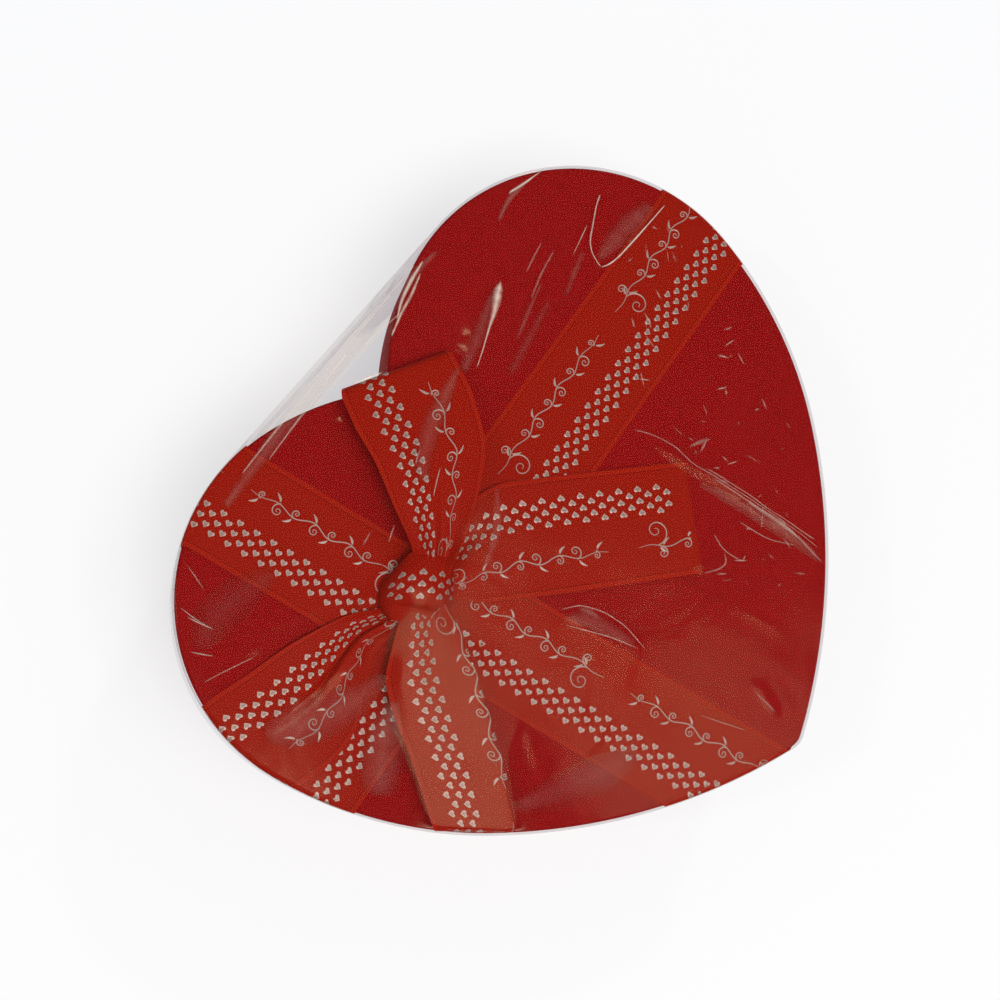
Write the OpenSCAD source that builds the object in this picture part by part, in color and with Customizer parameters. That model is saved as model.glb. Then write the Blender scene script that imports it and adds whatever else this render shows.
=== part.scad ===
// Heart-shaped gift box: a lift-off lid over a base, both of paper-covered board, with crossed
// satin ribbon straps, a tied bow, and a shrink film wrap in two halves.
// The heart lies flat with its lobes towards +Y and its point towards -Y. Sizes are millimetres.

/* [Heart outline] */
// Width of the lid across its lobes
lid_w = 164; // [130:1:220]
// Radius of each lobe's outer shoulder, as a share of the lid's width
lobe_share = 0.2726; // [0.23:0.001:0.32]
// Radius of each lobe's inner arc, which runs into the cleft, as such a share
inner_lobe_share = 0.3811; // [0.34:0.001:0.49]
// Radius of each flank, as such a share
flank_share = 0.5793; // [0.52:0.001:0.73]
// Radius of the long arc that runs into the point, as such a share
point_share = 0.872; // [0.76:0.001:1.04]
// Direction in which the shoulder meets the inner arc
lobe_turn = 105.5; // [98:0.5:112]
// Direction in which the shoulder meets the flank
flank_turn = -9; // [-14:0.5:-4]
// Direction in which the flank meets the arc of the point
point_turn = -39; // [-44:0.5:-34]

/* [Box] */
// Height from the table to the lid's top
box_h = 50; // [40:0.5:70]
// Height of the lid's side
lid_h = 22; // [16:0.5:30]
// Thickness of the grey board
board_t = 1.5; // [1:0.1:2.5]
// Thickness of the embossed paper and of the linings
paper_t = 0.3; // [0.2:0.05:0.5]
// Running gap between the lid's inside and the base's outside
lid_clear = 0.9; // [0.8:0.05:1.5]
// Gap between the base's top edge and the inside of the lid's top
seat_gap = 0.3; // [0.3:0.05:0.6]
// Width of the paper turned in over an edge
turn_in = 12; // [8:0.5:15]
// Margin left round the sheet that covers the turned-in edges under the base
sheet_margin = 1.5; // [1:0.1:4]

/* [Ribbon] */
// Width of the satin ribbon
ribbon_w = 25.4; // [18:0.2:28]
// Thickness of the ribbon
ribbon_t = 0.4; // [0.3:0.05:0.5]
// Length of ribbon glued up inside the lid at each strap's end
strap_tuck = 10; // [6:0.5:12]
// Angle of the cross strap from the X axis
cross_angle = 4; // [0:0.5:10]
// Height of the cross strap's middle over the heart's middle, as a share of the lid's width
cross_up_share = 0.11; // [0.03:0.005:0.15]
// Distance of the long strap's middle to the left of the knot's
long_left = 2.9; // [0:0.1:5]
// Lean of the long strap from the Y axis
long_angle = 9.5; // [0:0.5:14]
// Kink between the long strap's two arms, hidden under the knot
long_kink = 4.5; // [0:0.5:6]

/* [Bow] */
// Distance of the knot to the left of the heart's middle, as a share of the lid's width
knot_left_share = 0.184; // [0.15:0.002:0.22]
// Distance of the knot above the heart's middle, as such a share
knot_up_share = 0.12; // [0.09:0.002:0.15]
// Width of the knot
knot_w = 15; // [12:0.5:18]
// Height of the knot
knot_h = 8.6; // [6:0.2:10]
// Direction in which the upper loop leaves the knot
upper_loop_angle = 52; // [45:1:60]
// Reach of the upper loop from the knot's middle
upper_loop_len = 50; // [40:0.5:56]
// Direction in which the lower loop leaves the knot
lower_loop_angle = 234; // [228:1:240]
// Distance from the lower loop's turned end to the lid's edge
lower_loop_margin = 2.5; // [2.2:0.1:6]
// Width of the lower loop, whose one edge is folded under
lower_loop_w = 18; // [14:0.5:20]
// Direction in which the right tail leaves the knot
right_tail_angle = -42; // [-50:1:-36]
// Reach of the right tail from the knot's middle
right_tail_len = 65; // [45:0.5:72]
// Direction in which the left tail leaves the knot
left_tail_angle = 172; // [166:1:178]
// Distance from the left tail's cut end to the lid's widest edge
left_tail_margin = 2.6; // [2.2:0.1:6]
// Radius of the turn at the upper loop's end
upper_turn_r = 2.1; // [1.4:0.1:2.6]
// Radius of the turn at the lower loop's end, which the film presses flatter
lower_turn_r = 1.4; // [1:0.1:2]
// Rise of each loop's upper layer over its turned end
loop_crown = 1.6; // [0.5:0.1:2.5]

/* [Film] */
// Thickness of the shrink film's solids
film_t = 0.3; // [0.2:0.05:0.4]
// Gap between the film and what it covers
film_gap = 0.35; // [0.3:0.05:0.6]
// Height of the trimmed seam over the table
seam_z = 25.5; // [18:0.5:27]
// Width of the seam's rib outside the film
seam_w = 0.6; // [0.4:0.1:1.2]
// Height of each half of the seam's rib
seam_h = 0.4; // [0.3:0.1:0.8]

/* [Hidden] */

// Colours, as the photograph shows them
linen_red = "#9c1c20";
satin_red = "#b5301f";
board_grey = "#b9b1a3";
lining_white = "#efe9df";
film_clear = [0.85, 0.88, 0.9, 0.25];

// Steps along each arc of the outline, and round each loop's turned end
shoulder_steps = 18;
arc_steps = 7;
point_steps = 9;
turn_steps = 6;
run_steps = 9;
knot_steps = 8;
knot_fn = 48;
bead_fn = 8;

// Distance within which a point of the outline counts as on the middle line
hair = 0.01;

// Insets from the lid's outside to each layer of the walls, inwards
lid_board_in = paper_t;
lid_lining_in = lid_board_in + board_t;
lid_inside_in = lid_lining_in + paper_t;
base_wrap_in = lid_inside_in + lid_clear;
base_board_in = base_wrap_in + paper_t;
base_lining_in = base_board_in + board_t;
base_inside_in = base_lining_in + paper_t;
film_inside_in = -(ribbon_t + film_gap);
film_outside_in = film_inside_in - film_t;
seam_in = film_outside_in - seam_w;
film_foot_in = base_wrap_in - film_gap - film_t;

// Heights of each layer, upwards
under_z = film_t;
fold_z = under_z + paper_t;
floor_z = fold_z + paper_t;
floor_lining_z = floor_z + board_t;
cavity_z = floor_lining_z + paper_t;
lid_top = box_h;
lid_sheet_z = lid_top - paper_t;
lid_fold_z = lid_sheet_z - paper_t;
lid_board_z = lid_fold_z - board_t;
lid_lining_z = lid_board_z - paper_t;
lid_rim = box_h - lid_h;
base_rim = lid_lining_z - seat_gap;
seam_gap = film_gap;

// Shares of the knot's height at which tails and both layers of a loop come out of it
tail_root_share = 0.3;
loop_root_share = 0.52;
loop_top_root_share = 0.8;
// Share of the knot's width that lifts the film as a flat crown
film_crown_share = 0.25;
// Shares of a loop's run in which its lower layer drops and its upper layer climbs to the knot
loop_drop_share = 0.5;
loop_climb_share = 0.7;
// Shares of a tail's run between which it drops from the crossing to the lid, and its first rise
tail_rise_share = 0.2;
tail_drop_shares = [0.3, 0.5];

// Layers of ribbon over the lid's top, counted from it
ply_gap = 0.25;
crossing_h = 2 * ribbon_t;
tail_h = ribbon_t + ply_gap + ribbon_t / 2;
tail_high = crossing_h + ply_gap + ribbon_t;
loop_low = tail_h + ribbon_t / 2 + ply_gap;
knot_seat = crossing_h + ply_gap / 2;
tail_root_h = tail_root_share * knot_h;
loop_root_h = loop_root_share * knot_h;
loop_top_root_h = loop_top_root_share * knot_h;
film_rim_h = tail_h + ribbon_t / 2 + film_gap;

// Places and shares of the bow's pieces
knot_p = [-knot_left_share * lid_w, knot_up_share * lid_w];
root_s = knot_w / 2 + ply_gap;
upper_root_share = 0.4;
upper_flare_share = 0.55;
upper_side_shares = [-0.16, -0.25];
upper_skew_share = -0.16;
lower_root_share = 0.5;
lower_flare_share = 0.3;
lower_side_shares = [-0.06, -0.14];
lower_skew_share = 0.32;
right_root_share = 0.5;
right_flare_share = 0.2;
right_side_shares = [0.16, 0.34];
left_root_share = 0.24;
left_flare_share = 0.5;
left_side_shares = [0, 0.06];
left_skew_share = tan(left_tail_angle);

// A unit vector at an angle
function dir(a) = [cos(a), sin(a)];

// A smooth rise from 0 to 1
function ease(x) = let (k = min(1, max(0, x))) k * k * (3 - 2 * k);

function mix(a, b, k) = a + (b - a) * k;

// Radii of the outline's arcs, and their centres, counted from the shoulder's own
lobe_r = lobe_share * lid_w;
inner_lobe_r = inner_lobe_share * lid_w;
flank_r = flank_share * lid_w;
point_r = point_share * lid_w;
shoulder_x = lid_w / 2 - lobe_r;
inner_o = -(inner_lobe_r - lobe_r) * dir(lobe_turn);
flank_o = -(flank_r - lobe_r) * dir(flank_turn);
point_o = flank_o - (point_r - flank_r) * dir(point_turn);

// Angles at which the inner arc and the point's arc cross the heart's middle line. Drawn in so
// far that the inner arc no longer reaches that line, it ends at its side, and a line bridges it.
function cleft_a(d) = acos(-min(1, (shoulder_x + inner_o.x) / (inner_lobe_r - d)));
function point_a(d) = -acos(-(shoulder_x + point_o.x) / (point_r - d));

// The shoulder's height that puts the whole wrapped box evenly about the X axis
shoulder_y = -(lobe_r - seam_in + point_o.y + (point_r - seam_in) * sin(point_a(seam_in))) / 2;
shoulder_c = [shoulder_x, shoulder_y];

// Points of one arc, without its last
function arc(c, r, a0, a1, n) = [for (i = [0 : n - 1]) c + r * dir(mix(a0, a1, i / n))];

// Right half of the heart, from cleft to point, drawn in by d
function half(d) = concat(
    arc(shoulder_c + inner_o, inner_lobe_r - d, cleft_a(d), lobe_turn, arc_steps),
    arc(shoulder_c, lobe_r - d, lobe_turn, flank_turn, shoulder_steps),
    arc(shoulder_c + flank_o, flank_r - d, flank_turn, point_turn, arc_steps),
    arc(shoulder_c + point_o, point_r - d, point_turn, point_a(d), point_steps),
    [[0, shoulder_y + point_o.y + (point_r - d) * sin(point_a(d))]]);

// The heart's whole outline, drawn in by d
function outline(d) = let (h = half(d), n = len(h))
    concat(h, [for (i = [n - 2 : -1 : 0]) if (h[i].x > hair) [-h[i].x, h[i].y]]);

module heart(d) {
    polygon(outline(d));
}

// The same outline with the cleft bridged by a straight line, as stretched film does
module bridged(d) {
    crest = shoulder_y + lobe_r - d;
    polygon([for (p = outline(d)) abs(p.x) < shoulder_x ? [p.x, p.y > shoulder_y ? crest : p.y] : p]);
}

module slab(d, z0, z1) {
    translate([0, 0, z0]) linear_extrude(z1 - z0) heart(d);
}

// A heart-shaped ring between two insets
module ring(d0, d1, z0, z1) {
    translate([0, 0, z0]) linear_extrude(z1 - z0) difference() {
        heart(d0);
        heart(d1);
    }
}

// Base

module base_floor_board() {
    color(board_grey) slab(base_lining_in, floor_z, floor_lining_z);
}

module base_wall_board() {
    color(board_grey) ring(base_board_in, base_lining_in, floor_z, base_rim - paper_t);
}

// Paper round the base's side, turned in under the floor and over the rim
module base_wall_wrap() {
    color(linen_red) union() {
        ring(base_wrap_in, base_board_in, fold_z, base_rim);
        ring(base_wrap_in, base_lining_in + turn_in, fold_z, floor_z);
        ring(base_wrap_in, base_inside_in, base_rim - paper_t, base_rim);
        ring(base_lining_in, base_inside_in, base_rim - turn_in, base_rim);
    }
}

module base_underside_sheet() {
    color(linen_red) slab(base_wrap_in + sheet_margin, under_z, fold_z);
}

module base_wall_lining() {
    color(lining_white) ring(base_lining_in, base_inside_in, floor_lining_z, base_rim - turn_in);
}

module base_floor_lining() {
    color(lining_white) slab(base_inside_in, floor_lining_z, cavity_z);
}

// Lid

module lid_top_board() {
    color(board_grey) slab(lid_lining_in, lid_board_z, lid_fold_z);
}

module lid_wall_board() {
    color(board_grey) ring(lid_board_in, lid_lining_in, lid_rim + paper_t, lid_fold_z);
}

// Paper round the lid's side, turned in over its top and up inside its rim
module lid_wall_wrap() {
    color(linen_red) union() {
        ring(0, lid_board_in, lid_rim, lid_sheet_z);
        ring(0, lid_lining_in + turn_in, lid_fold_z, lid_sheet_z);
        ring(0, lid_inside_in, lid_rim, lid_rim + paper_t);
        ring(lid_lining_in, lid_inside_in, lid_rim, lid_rim + turn_in);
    }
}

module lid_top_sheet() {
    color(linen_red) slab(0, lid_sheet_z, lid_top);
}

module lid_wall_lining() {
    color(lining_white) ring(lid_lining_in, lid_inside_in, lid_rim + turn_in, lid_board_z);
}

module lid_top_lining() {
    color(lining_white) slab(lid_inside_in, lid_lining_z, lid_board_z);
}

// Ribbon straps. A band is the strip of plan that a strap covers.

module cross_band(spread) {
    translate([0, cross_up_share * lid_w]) rotate(cross_angle)
        square([2 * lid_w, ribbon_w + 2 * spread], center = true);
}

// Both arms of the long strap, which meet under the knot
module long_band() {
    for (side = [-1, 1])
        translate(knot_p - [long_left + side * long_kink / 2, 0]) rotate(long_angle)
            translate([-ribbon_w / 2, side > 0 ? -long_kink : long_kink - lid_w])
                square([ribbon_w, lid_w]);
}

// A strap's ends: down the lid's side, round its rim and up inside it
module strap_ends() {
    tuck_in = lid_inside_in + ribbon_t;
    foot = lid_rim - ribbon_t;
    translate([0, 0, foot]) linear_extrude(lid_top + ribbon_t - foot) intersection() {
        difference() {
            heart(-ribbon_t);
            heart(0);
        }
        children();
    }
    translate([0, 0, foot]) linear_extrude(ribbon_t) intersection() {
        difference() {
            heart(-ribbon_t);
            heart(tuck_in);
        }
        children();
    }
    translate([0, 0, foot]) linear_extrude(strap_tuck) intersection() {
        difference() {
            heart(lid_inside_in);
            heart(tuck_in);
        }
        children();
    }
}

module strap_cross() {
    color(satin_red) union() {
        translate([0, 0, lid_top]) linear_extrude(ribbon_t) intersection() {
            heart(-ribbon_t);
            cross_band(0);
        }
        strap_ends() cross_band(0);
    }
}

// The long strap steps over the cross strap
module strap_long() {
    color(satin_red) union() {
        translate([0, 0, lid_top]) linear_extrude(ribbon_t) difference() {
            intersection() {
                heart(-ribbon_t);
                long_band();
            }
            cross_band(0);
        }
        translate([0, 0, lid_top + ribbon_t]) linear_extrude(ribbon_t) intersection() {
            long_band();
            cross_band(ribbon_t);
        }
        strap_ends() long_band();
    }
}

// Bow. Each piece is a strip of ribbon that leaves the knot in its own direction. Its path is a
// list of [reach, height], and its plan flares from a gathered root to the ribbon's width.

// Path of a loop: out along the lid, round the turned end of radius r and back over a crown
function loop_path(reach, end_h, r) = let (e = reach - r) concat(
    [for (i = [0 : run_steps - 1]) let (k = i / run_steps)
        [mix(root_s, e, k), mix(loop_root_h, end_h, ease(k / loop_drop_share))]],
    [for (i = [0 : turn_steps]) let (a = mix(-90, 90, i / turn_steps))
        [e + r * cos(a), end_h + r + r * sin(a)]],
    [for (i = [1 : run_steps]) let (k = i / run_steps, climb = ease(1 - (1 - k) / loop_climb_share))
        [mix(e, root_s, k), mix(end_h + 2 * r, loop_top_root_h, climb) + loop_crown * sin(180 * k)]]);

// Path of a tail: from the knot over the crossed straps, then down and flat along the lid
function tail_path(reach) = [for (i = [0 : 2 * run_steps]) let (k = i / (2 * run_steps),
        over = mix(tail_root_h, tail_high, ease(k / tail_rise_share)),
        drop = (k - tail_drop_shares[0]) / (tail_drop_shares[1] - tail_drop_shares[0]))
    [mix(root_s, reach, k), mix(over, tail_h, ease(drop))]];

// Direction of a path at point i
function heading(p, i) = let (n = len(p) - 1, a = p[max(0, i - 1)], b = p[min(n, i + 1)])
    atan2(b.y - a.y, b.x - a.x);

// Corners of the strip at each point of its path: upper left, upper right, lower right, lower left
function strip_points(p, reach, w, root_share, flare_share, sides, skew) =
    [for (i = [0 : len(p) - 1])
        let (k = ease((p[i].x - root_s) / (flare_share * reach)), a = heading(p, i),
            hw = w / 2 * mix(root_share, 1, k), c = ribbon_w * mix(sides[0], sides[1], k),
            slant = skew * hw * pow(p[i].x / reach, 2))
        for (q = [[1, 1], [-1, 1], [-1, -1], [1, -1]])
            [p[i].x + q.x * slant - q.y * ribbon_t / 2 * sin(a), c + q.x * hw,
                p[i].y + q.y * ribbon_t / 2 * cos(a)]];

function strip_faces(n) = concat(
    [for (i = [0 : n - 2], j = [0 : 3]) [4 * i + (j + 1) % 4, 4 * i + j, 4 * i + 4 + j]],
    [for (i = [0 : n - 2], j = [0 : 3])
        [4 * i + 4 + (j + 1) % 4, 4 * i + (j + 1) % 4, 4 * i + 4 + j]],
    [[0, 1, 2], [0, 2, 3]],
    [[4 * n - 3, 4 * n - 4, 4 * n - 2], [4 * n - 2, 4 * n - 4, 4 * n - 1]]);

// Turns a strip's points from its own direction to its place on the lid
function placed(pts, angle) = [for (q = pts)
    let (v = knot_p + q.x * dir(angle) + q.y * dir(angle + 90)) [v.x, v.y, lid_top + q.z]];

// Reach from the knot to the lid's edge, where an arc of centre c and radius r bounds it
function reach_to(c, r, angle) = let (q = c - knot_p, along = q * dir(angle))
    along + sqrt(r * r - q * q + along * along);

left_tail_len = (lid_w / 2 - left_tail_margin + knot_p.x) / -cos(left_tail_angle);
left_flank_c = [-(shoulder_c + flank_o).x, (shoulder_c + flank_o).y];
lower_loop_len = reach_to(left_flank_c, flank_r, lower_loop_angle) - lower_loop_margin;

upper_loop_points = placed(strip_points(loop_path(upper_loop_len, loop_low, upper_turn_r), upper_loop_len,
    ribbon_w, upper_root_share, upper_flare_share, upper_side_shares, upper_skew_share), upper_loop_angle);
lower_loop_points = placed(strip_points(loop_path(lower_loop_len, loop_low, lower_turn_r),
    lower_loop_len, lower_loop_w, lower_root_share, lower_flare_share, lower_side_shares,
    lower_skew_share), lower_loop_angle);
right_tail_points = placed(strip_points(tail_path(right_tail_len), right_tail_len, ribbon_w,
    right_root_share, right_flare_share, right_side_shares, 0), right_tail_angle);
left_tail_points = placed(strip_points(tail_path(left_tail_len), left_tail_len, ribbon_w,
    left_root_share, left_flare_share, left_side_shares, left_skew_share), left_tail_angle);

module strip(pts) {
    color(satin_red) polyhedron(pts, strip_faces(len(pts) / 4), convexity = 4);
}

module bow_upper_loop() {
    strip(upper_loop_points);
}

module bow_lower_loop() {
    strip(lower_loop_points);
}

module bow_right_tail() {
    strip(right_tail_points);
}

module bow_left_tail() {
    strip(left_tail_points);
}

// The knot: a flattened ball of wrapped ribbon
module bow_knot() {
    half_h = (knot_h - knot_seat) / 2;
    color(satin_red) translate([knot_p.x, knot_p.y, lid_top + knot_seat + half_h])
        rotate_extrude($fn = knot_fn)
            polygon([for (i = [0 : knot_steps]) let (a = mix(-90, 90, i / knot_steps))
                [knot_w / 2 * cos(a), half_h * sin(a)]]);
}

// Film

// What the upper film half is stretched over, grown by the distance g
module film_form(g, z0, rim_in) {
    hull() {
        translate([0, 0, z0]) linear_extrude(lid_top + film_rim_h + g - film_gap - z0) bridged(rim_in);
        for (p = concat(upper_loop_points, lower_loop_points)) translate(p) sphere(g, $fn = bead_fn);
        translate([knot_p.x, knot_p.y, lid_top + knot_h - ribbon_t])
            cylinder(h = ribbon_t + g, r = film_crown_share * knot_w);
    }
}

// Upper half, from the seam over the lid and the bow
module film_top() {
    z0 = seam_z + seam_gap / 2;
    color(film_clear) difference() {
        union() {
            film_form(film_gap + film_t, z0, film_outside_in);
            translate([0, 0, z0]) linear_extrude(seam_h) bridged(seam_in);
        }
        film_form(film_gap, z0 - film_t, film_inside_in);
    }
}

// A tapering tub, from the outline foot_in on the table to rim_in at the seam
module film_tub(foot_in, rim_in, z0, z1) {
    hull() {
        translate([0, 0, z0]) linear_extrude(film_t) bridged(foot_in);
        translate([0, 0, z1 - seam_h]) linear_extrude(seam_h) bridged(rim_in);
    }
}

// Lower half, under the base and up to the seam
module film_bottom() {
    z1 = seam_z - seam_gap / 2;
    color(film_clear) difference() {
        union() {
            film_tub(film_foot_in, film_outside_in, 0, z1);
            translate([0, 0, z1 - seam_h]) linear_extrude(seam_h) bridged(seam_in);
        }
        film_tub(film_foot_in + film_t, film_inside_in, film_t, z1 + film_t);
    }
}

base_floor_board();
base_wall_board();
base_wall_wrap();
base_underside_sheet();
base_wall_lining();
base_floor_lining();
lid_top_board();
lid_wall_board();
lid_wall_wrap();
lid_top_sheet();
lid_wall_lining();
lid_top_lining();
strap_cross();
strap_long();
bow_knot();
bow_upper_loop();
bow_lower_loop();
bow_right_tail();
bow_left_tail();
film_bottom();
film_top();
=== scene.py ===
# %% [markdown]
# # A heart-shaped gift box with a satin bow, under shrink film
#
# The real object is a keepsake box for sweets: a lid over a base, both of grey board covered
# with linen-embossed paper. Two satin ribbons cross on the lid, a third is tied over them in a
# bow, and clear shrink film holds everything tight. The lid lifts off, and the film comes off it.
#
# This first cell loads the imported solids. They are the frame: every new surface below keeps to
# their places and rides on one of their bodies.

import bmesh
import bpy
import numpy as np
from mathutils import Matrix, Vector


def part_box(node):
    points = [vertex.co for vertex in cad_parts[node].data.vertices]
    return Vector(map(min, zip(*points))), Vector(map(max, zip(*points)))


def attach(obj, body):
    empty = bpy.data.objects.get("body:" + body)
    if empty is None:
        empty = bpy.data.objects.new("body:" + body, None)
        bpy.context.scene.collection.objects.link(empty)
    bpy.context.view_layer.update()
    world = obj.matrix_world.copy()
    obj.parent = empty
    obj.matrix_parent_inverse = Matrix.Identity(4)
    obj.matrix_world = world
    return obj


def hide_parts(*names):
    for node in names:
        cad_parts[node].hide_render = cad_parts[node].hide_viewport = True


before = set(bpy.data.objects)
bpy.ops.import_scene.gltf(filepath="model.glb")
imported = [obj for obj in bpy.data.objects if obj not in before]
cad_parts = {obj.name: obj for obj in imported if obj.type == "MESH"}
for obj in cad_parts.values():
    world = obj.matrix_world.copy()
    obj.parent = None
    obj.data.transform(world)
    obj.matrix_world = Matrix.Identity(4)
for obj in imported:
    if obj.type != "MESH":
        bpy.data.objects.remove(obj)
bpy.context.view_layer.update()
MM = 0.001  # all shapes below are worked out in millimetres
lid_low, lid_high = (np.array(corner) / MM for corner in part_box("lid_top_sheet"))
LID_W, LID_TOP = lid_high[0] - lid_low[0], lid_high[2]

# %% [markdown]
# ## The camera
#
# The photograph looks almost straight down from about 38 cm. The camera's place and axes were
# fitted to the lid's outline, so they are written here as they came out of that fit.

# %% Camera
scene = bpy.context.scene
scene.view_settings.view_transform = "Standard"
lens = bpy.data.cameras.new("camera")
lens.lens, lens.sensor_width, lens.sensor_fit = 53.78, 36.0, "HORIZONTAL"
lens.clip_start = 0.01
camera = bpy.data.objects.new("camera", lens)
scene.collection.objects.link(camera)
camera_place = np.array([-74.05, 41.49, 381.08]) * MM
camera_axes = np.array(
    [
        [0.62565095, 0.75110025, -0.21073514, camera_place[0]],
        [-0.75755625, 0.649457, 0.06568212, camera_place[1]],
        [0.18619727, 0.11854964, 0.97533408, camera_place[2]],
        [0, 0, 0, 1],
    ]
)
camera.matrix_world = Matrix(camera_axes.tolist())
scene.camera = camera
print("camera at", camera_place.round(3), "m, lens", lens.lens)

# %% [markdown]
# ## Colours and nodes
#
# Colours are written as they look on a screen, and Blender reckons in linear light, so one
# function converts them. Another adds a shader node, sets it up and links it in one line.

# %% Two helpers for materials
def colour(code):
    """Linear RGBA of a screen colour: each channel c is c / 12.92 up to 0.04045, and
    ((c + 0.055) / 1.055) to the power 2.4 above that."""
    c = np.array([int(code[i : i + 2], 16) for i in (1, 3, 5)]) / 255
    linear = np.where(c <= 0.04045, c / 12.92, ((c + 0.055) / 1.055) ** 2.4)
    return (*linear, 1.0)


def add(tree, kind, inputs=(), **settings):
    """Adds a node of that kind. Each input is a plain value, a socket, or a node, which then
    stands for its first output."""
    made = tree.nodes.new("ShaderNode" + kind)
    for name, value in settings.items():
        setattr(made, name, value)
    for name, value in dict(inputs).items():
        value = value.outputs[0] if isinstance(value, bpy.types.Node) else value
        if isinstance(value, bpy.types.NodeSocket):
            tree.links.new(value, made.inputs[name])
        else:
            made.inputs[name].default_value = value
    return made


def start(name):
    """An empty node material and its tree."""
    material = bpy.data.materials.new(name)
    material.use_nodes = True
    material.node_tree.nodes.clear()
    return material, material.node_tree


# %% [markdown]
# ## Linen-embossed paper
#
# Book-covering paper, dyed through and rolled between steel cylinders that press a linen weave
# into it. To the eye it is a fine mat of short crossing threads, a little glossy on their tops.
# Two stretched noises, one along and one across, give such threads with their breaks. The
# pattern reads the paper's own UV map, which is in millimetres, so it runs straight on the top
# and round the sides. Real threads are about 0.4 mm apart; that is drawn a little coarser, as
# the render has 4 pixels to a millimetre.

# %% Linen paper
PRESS_TURN = np.radians(-50.0)  # the weave runs across the photograph's own axes
linen_paper, tree = start("linen_embossed_paper")
place = add(tree, "UVMap", uv_map="mm")
turned = add(tree, "Mapping", {"Vector": place, "Rotation": (0, 0, -PRESS_TURN)})
threads = []
for scale in ((2.0, 0.3, 1), (0.3, 2.0, 1)):
    laid = add(tree, "Mapping", {"Vector": turned, "Scale": scale})
    thread = add(tree, "TexNoise", {"Vector": laid, "Scale": 1.0, "Detail": 1.0})
    threads.append(add(tree, "MapRange", {"Value": thread, "From Min": 0.42, "From Max": 0.68}))
weave = add(tree, "Math", {0: threads[0], 1: threads[1]}, operation="MAXIMUM")
cloud = add(tree, "TexNoise", {"Vector": place, "Scale": 0.06, "Detail": 4.0})
deep = add(tree, "Mix", {0: cloud, 6: colour("#81070a"), 7: colour("#8b0a0d")}, data_type="RGBA")
red = add(
    tree, "Mix", {0: weave, 6: deep.outputs[2], 7: colour("#920d0f")}, data_type="RGBA"
)
gloss = add(tree, "MapRange", {"Value": weave, "To Min": 0.66, "To Max": 0.5})
bump = add(tree, "Bump", {"Height": weave, "Strength": 0.3, "Distance": 0.00006})
shader = add(
    tree,
    "BsdfPrincipled",
    {
        "Base Color": red.outputs[2],
        "Roughness": gloss,
        "Normal": bump,
        "Specular IOR Level": 0.02,
    },
)
add(tree, "OutputMaterial", {"Surface": shader})
print(linen_paper.name, len(tree.nodes), "nodes")

# %% [markdown]
# ## White lining paper and grey board
#
# The inside is lined with smooth white paper. The walls and floors are grey board, pressed from
# waste paper, so it is speckled with fibres. Both are matt. Fibres are 1 to 2 mm long.

# %% Lining paper and grey board
lining_paper, tree = start("white_lining_paper")
place = add(tree, "UVMap", uv_map="mm")
fibre = add(tree, "TexNoise", {"Vector": place, "Scale": 1.4, "Detail": 5.0, "Distortion": 0.8})
white = add(
    tree, "Mix", {0: fibre, 6: colour("#e3ddd2"), 7: colour("#f1ece3")}, data_type="RGBA"
)
bump = add(tree, "Bump", {"Height": fibre, "Strength": 0.3, "Distance": 0.00003})
shader = add(
    tree,
    "BsdfPrincipled",
    {"Base Color": white.outputs[2], "Roughness": 0.75, "Normal": bump},
)
add(tree, "OutputMaterial", {"Surface": shader})

grey_board, tree = start("grey_board")
place = add(tree, "UVMap", uv_map="mm")
speck = add(tree, "TexNoise", {"Vector": place, "Scale": 2.2, "Detail": 6.0, "Distortion": 1.2})
spread = add(tree, "MapRange", {"Value": speck, "From Min": 0.35, "From Max": 0.7})
grey = add(
    tree, "Mix", {0: spread, 6: colour("#a59c8c"), 7: colour("#bfb6a6")}, data_type="RGBA"
)
bump = add(tree, "Bump", {"Height": speck, "Strength": 0.5, "Distance": 0.00005})
shader = add(
    tree, "BsdfPrincipled", {"Base Color": grey.outputs[2], "Roughness": 0.9, "Normal": bump}
)
add(tree, "OutputMaterial", {"Surface": shader})
print(lining_paper.name, "and", grey_board.name)

# %% [markdown]
# ## Satin ribbon
#
# Single-faced polyester satin. Its floats lie along the ribbon, so it shines in long streaks,
# and fine ribs cross it every 0.67 mm; those streaks are also painted into its colour as painted
# sheen. A woven selvedge, 1.2 mm wide, runs along both edges with a row of tiny dents, and the
# groove they lie in is painted darker as shade. The ribbon's UV map is in millimetres, u along it
# and v across it. On its plain side v runs 100 mm further on, and there the ribbon is matt.

# %% Satin ribbon
RIBBON_W = 25.4
RIBBON_T = 0.3
RIB_PITCH = 0.67
PLAIN_V = 100.0  # v starts here on the plain side
satin, tree = start("satin_ribbon_polyester")
place = add(tree, "UVMap", uv_map="mm")
parts = add(tree, "SeparateXYZ", {0: place})
plain = add(tree, "Math", {0: parts.outputs["Y"], 1: PLAIN_V / 2}, operation="GREATER_THAN")
across_v = add(tree, "Math", {0: parts.outputs["Y"], 1: PLAIN_V}, operation="MODULO")
turns = add(tree, "Math", {0: parts.outputs["X"], 1: 2 * np.pi / RIB_PITCH}, operation="MULTIPLY")
ribs = add(tree, "Math", {0: turns}, operation="SINE")
edge_v = add(tree, "Math", {0: across_v, 1: RIBBON_W / 2}, operation="SUBTRACT")
edge_v = add(tree, "Math", {0: edge_v}, operation="ABSOLUTE")
selvedge = add(
    tree,
    "MapRange",
    {"Value": edge_v, "From Min": RIBBON_W / 2 - 1.35, "From Max": RIBBON_W / 2 - 1.0},
)
groove = add(tree, "Math", {0: selvedge, 1: 0.5}, operation="SUBTRACT")
groove = add(tree, "Math", {0: groove}, operation="ABSOLUTE")
groove = add(tree, "MapRange", {"Value": groove, "From Max": 0.5, "To Min": 1.0, "To Max": 0.0})
dents = add(tree, "Math", {0: ribs, 1: groove}, operation="MULTIPLY")
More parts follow.
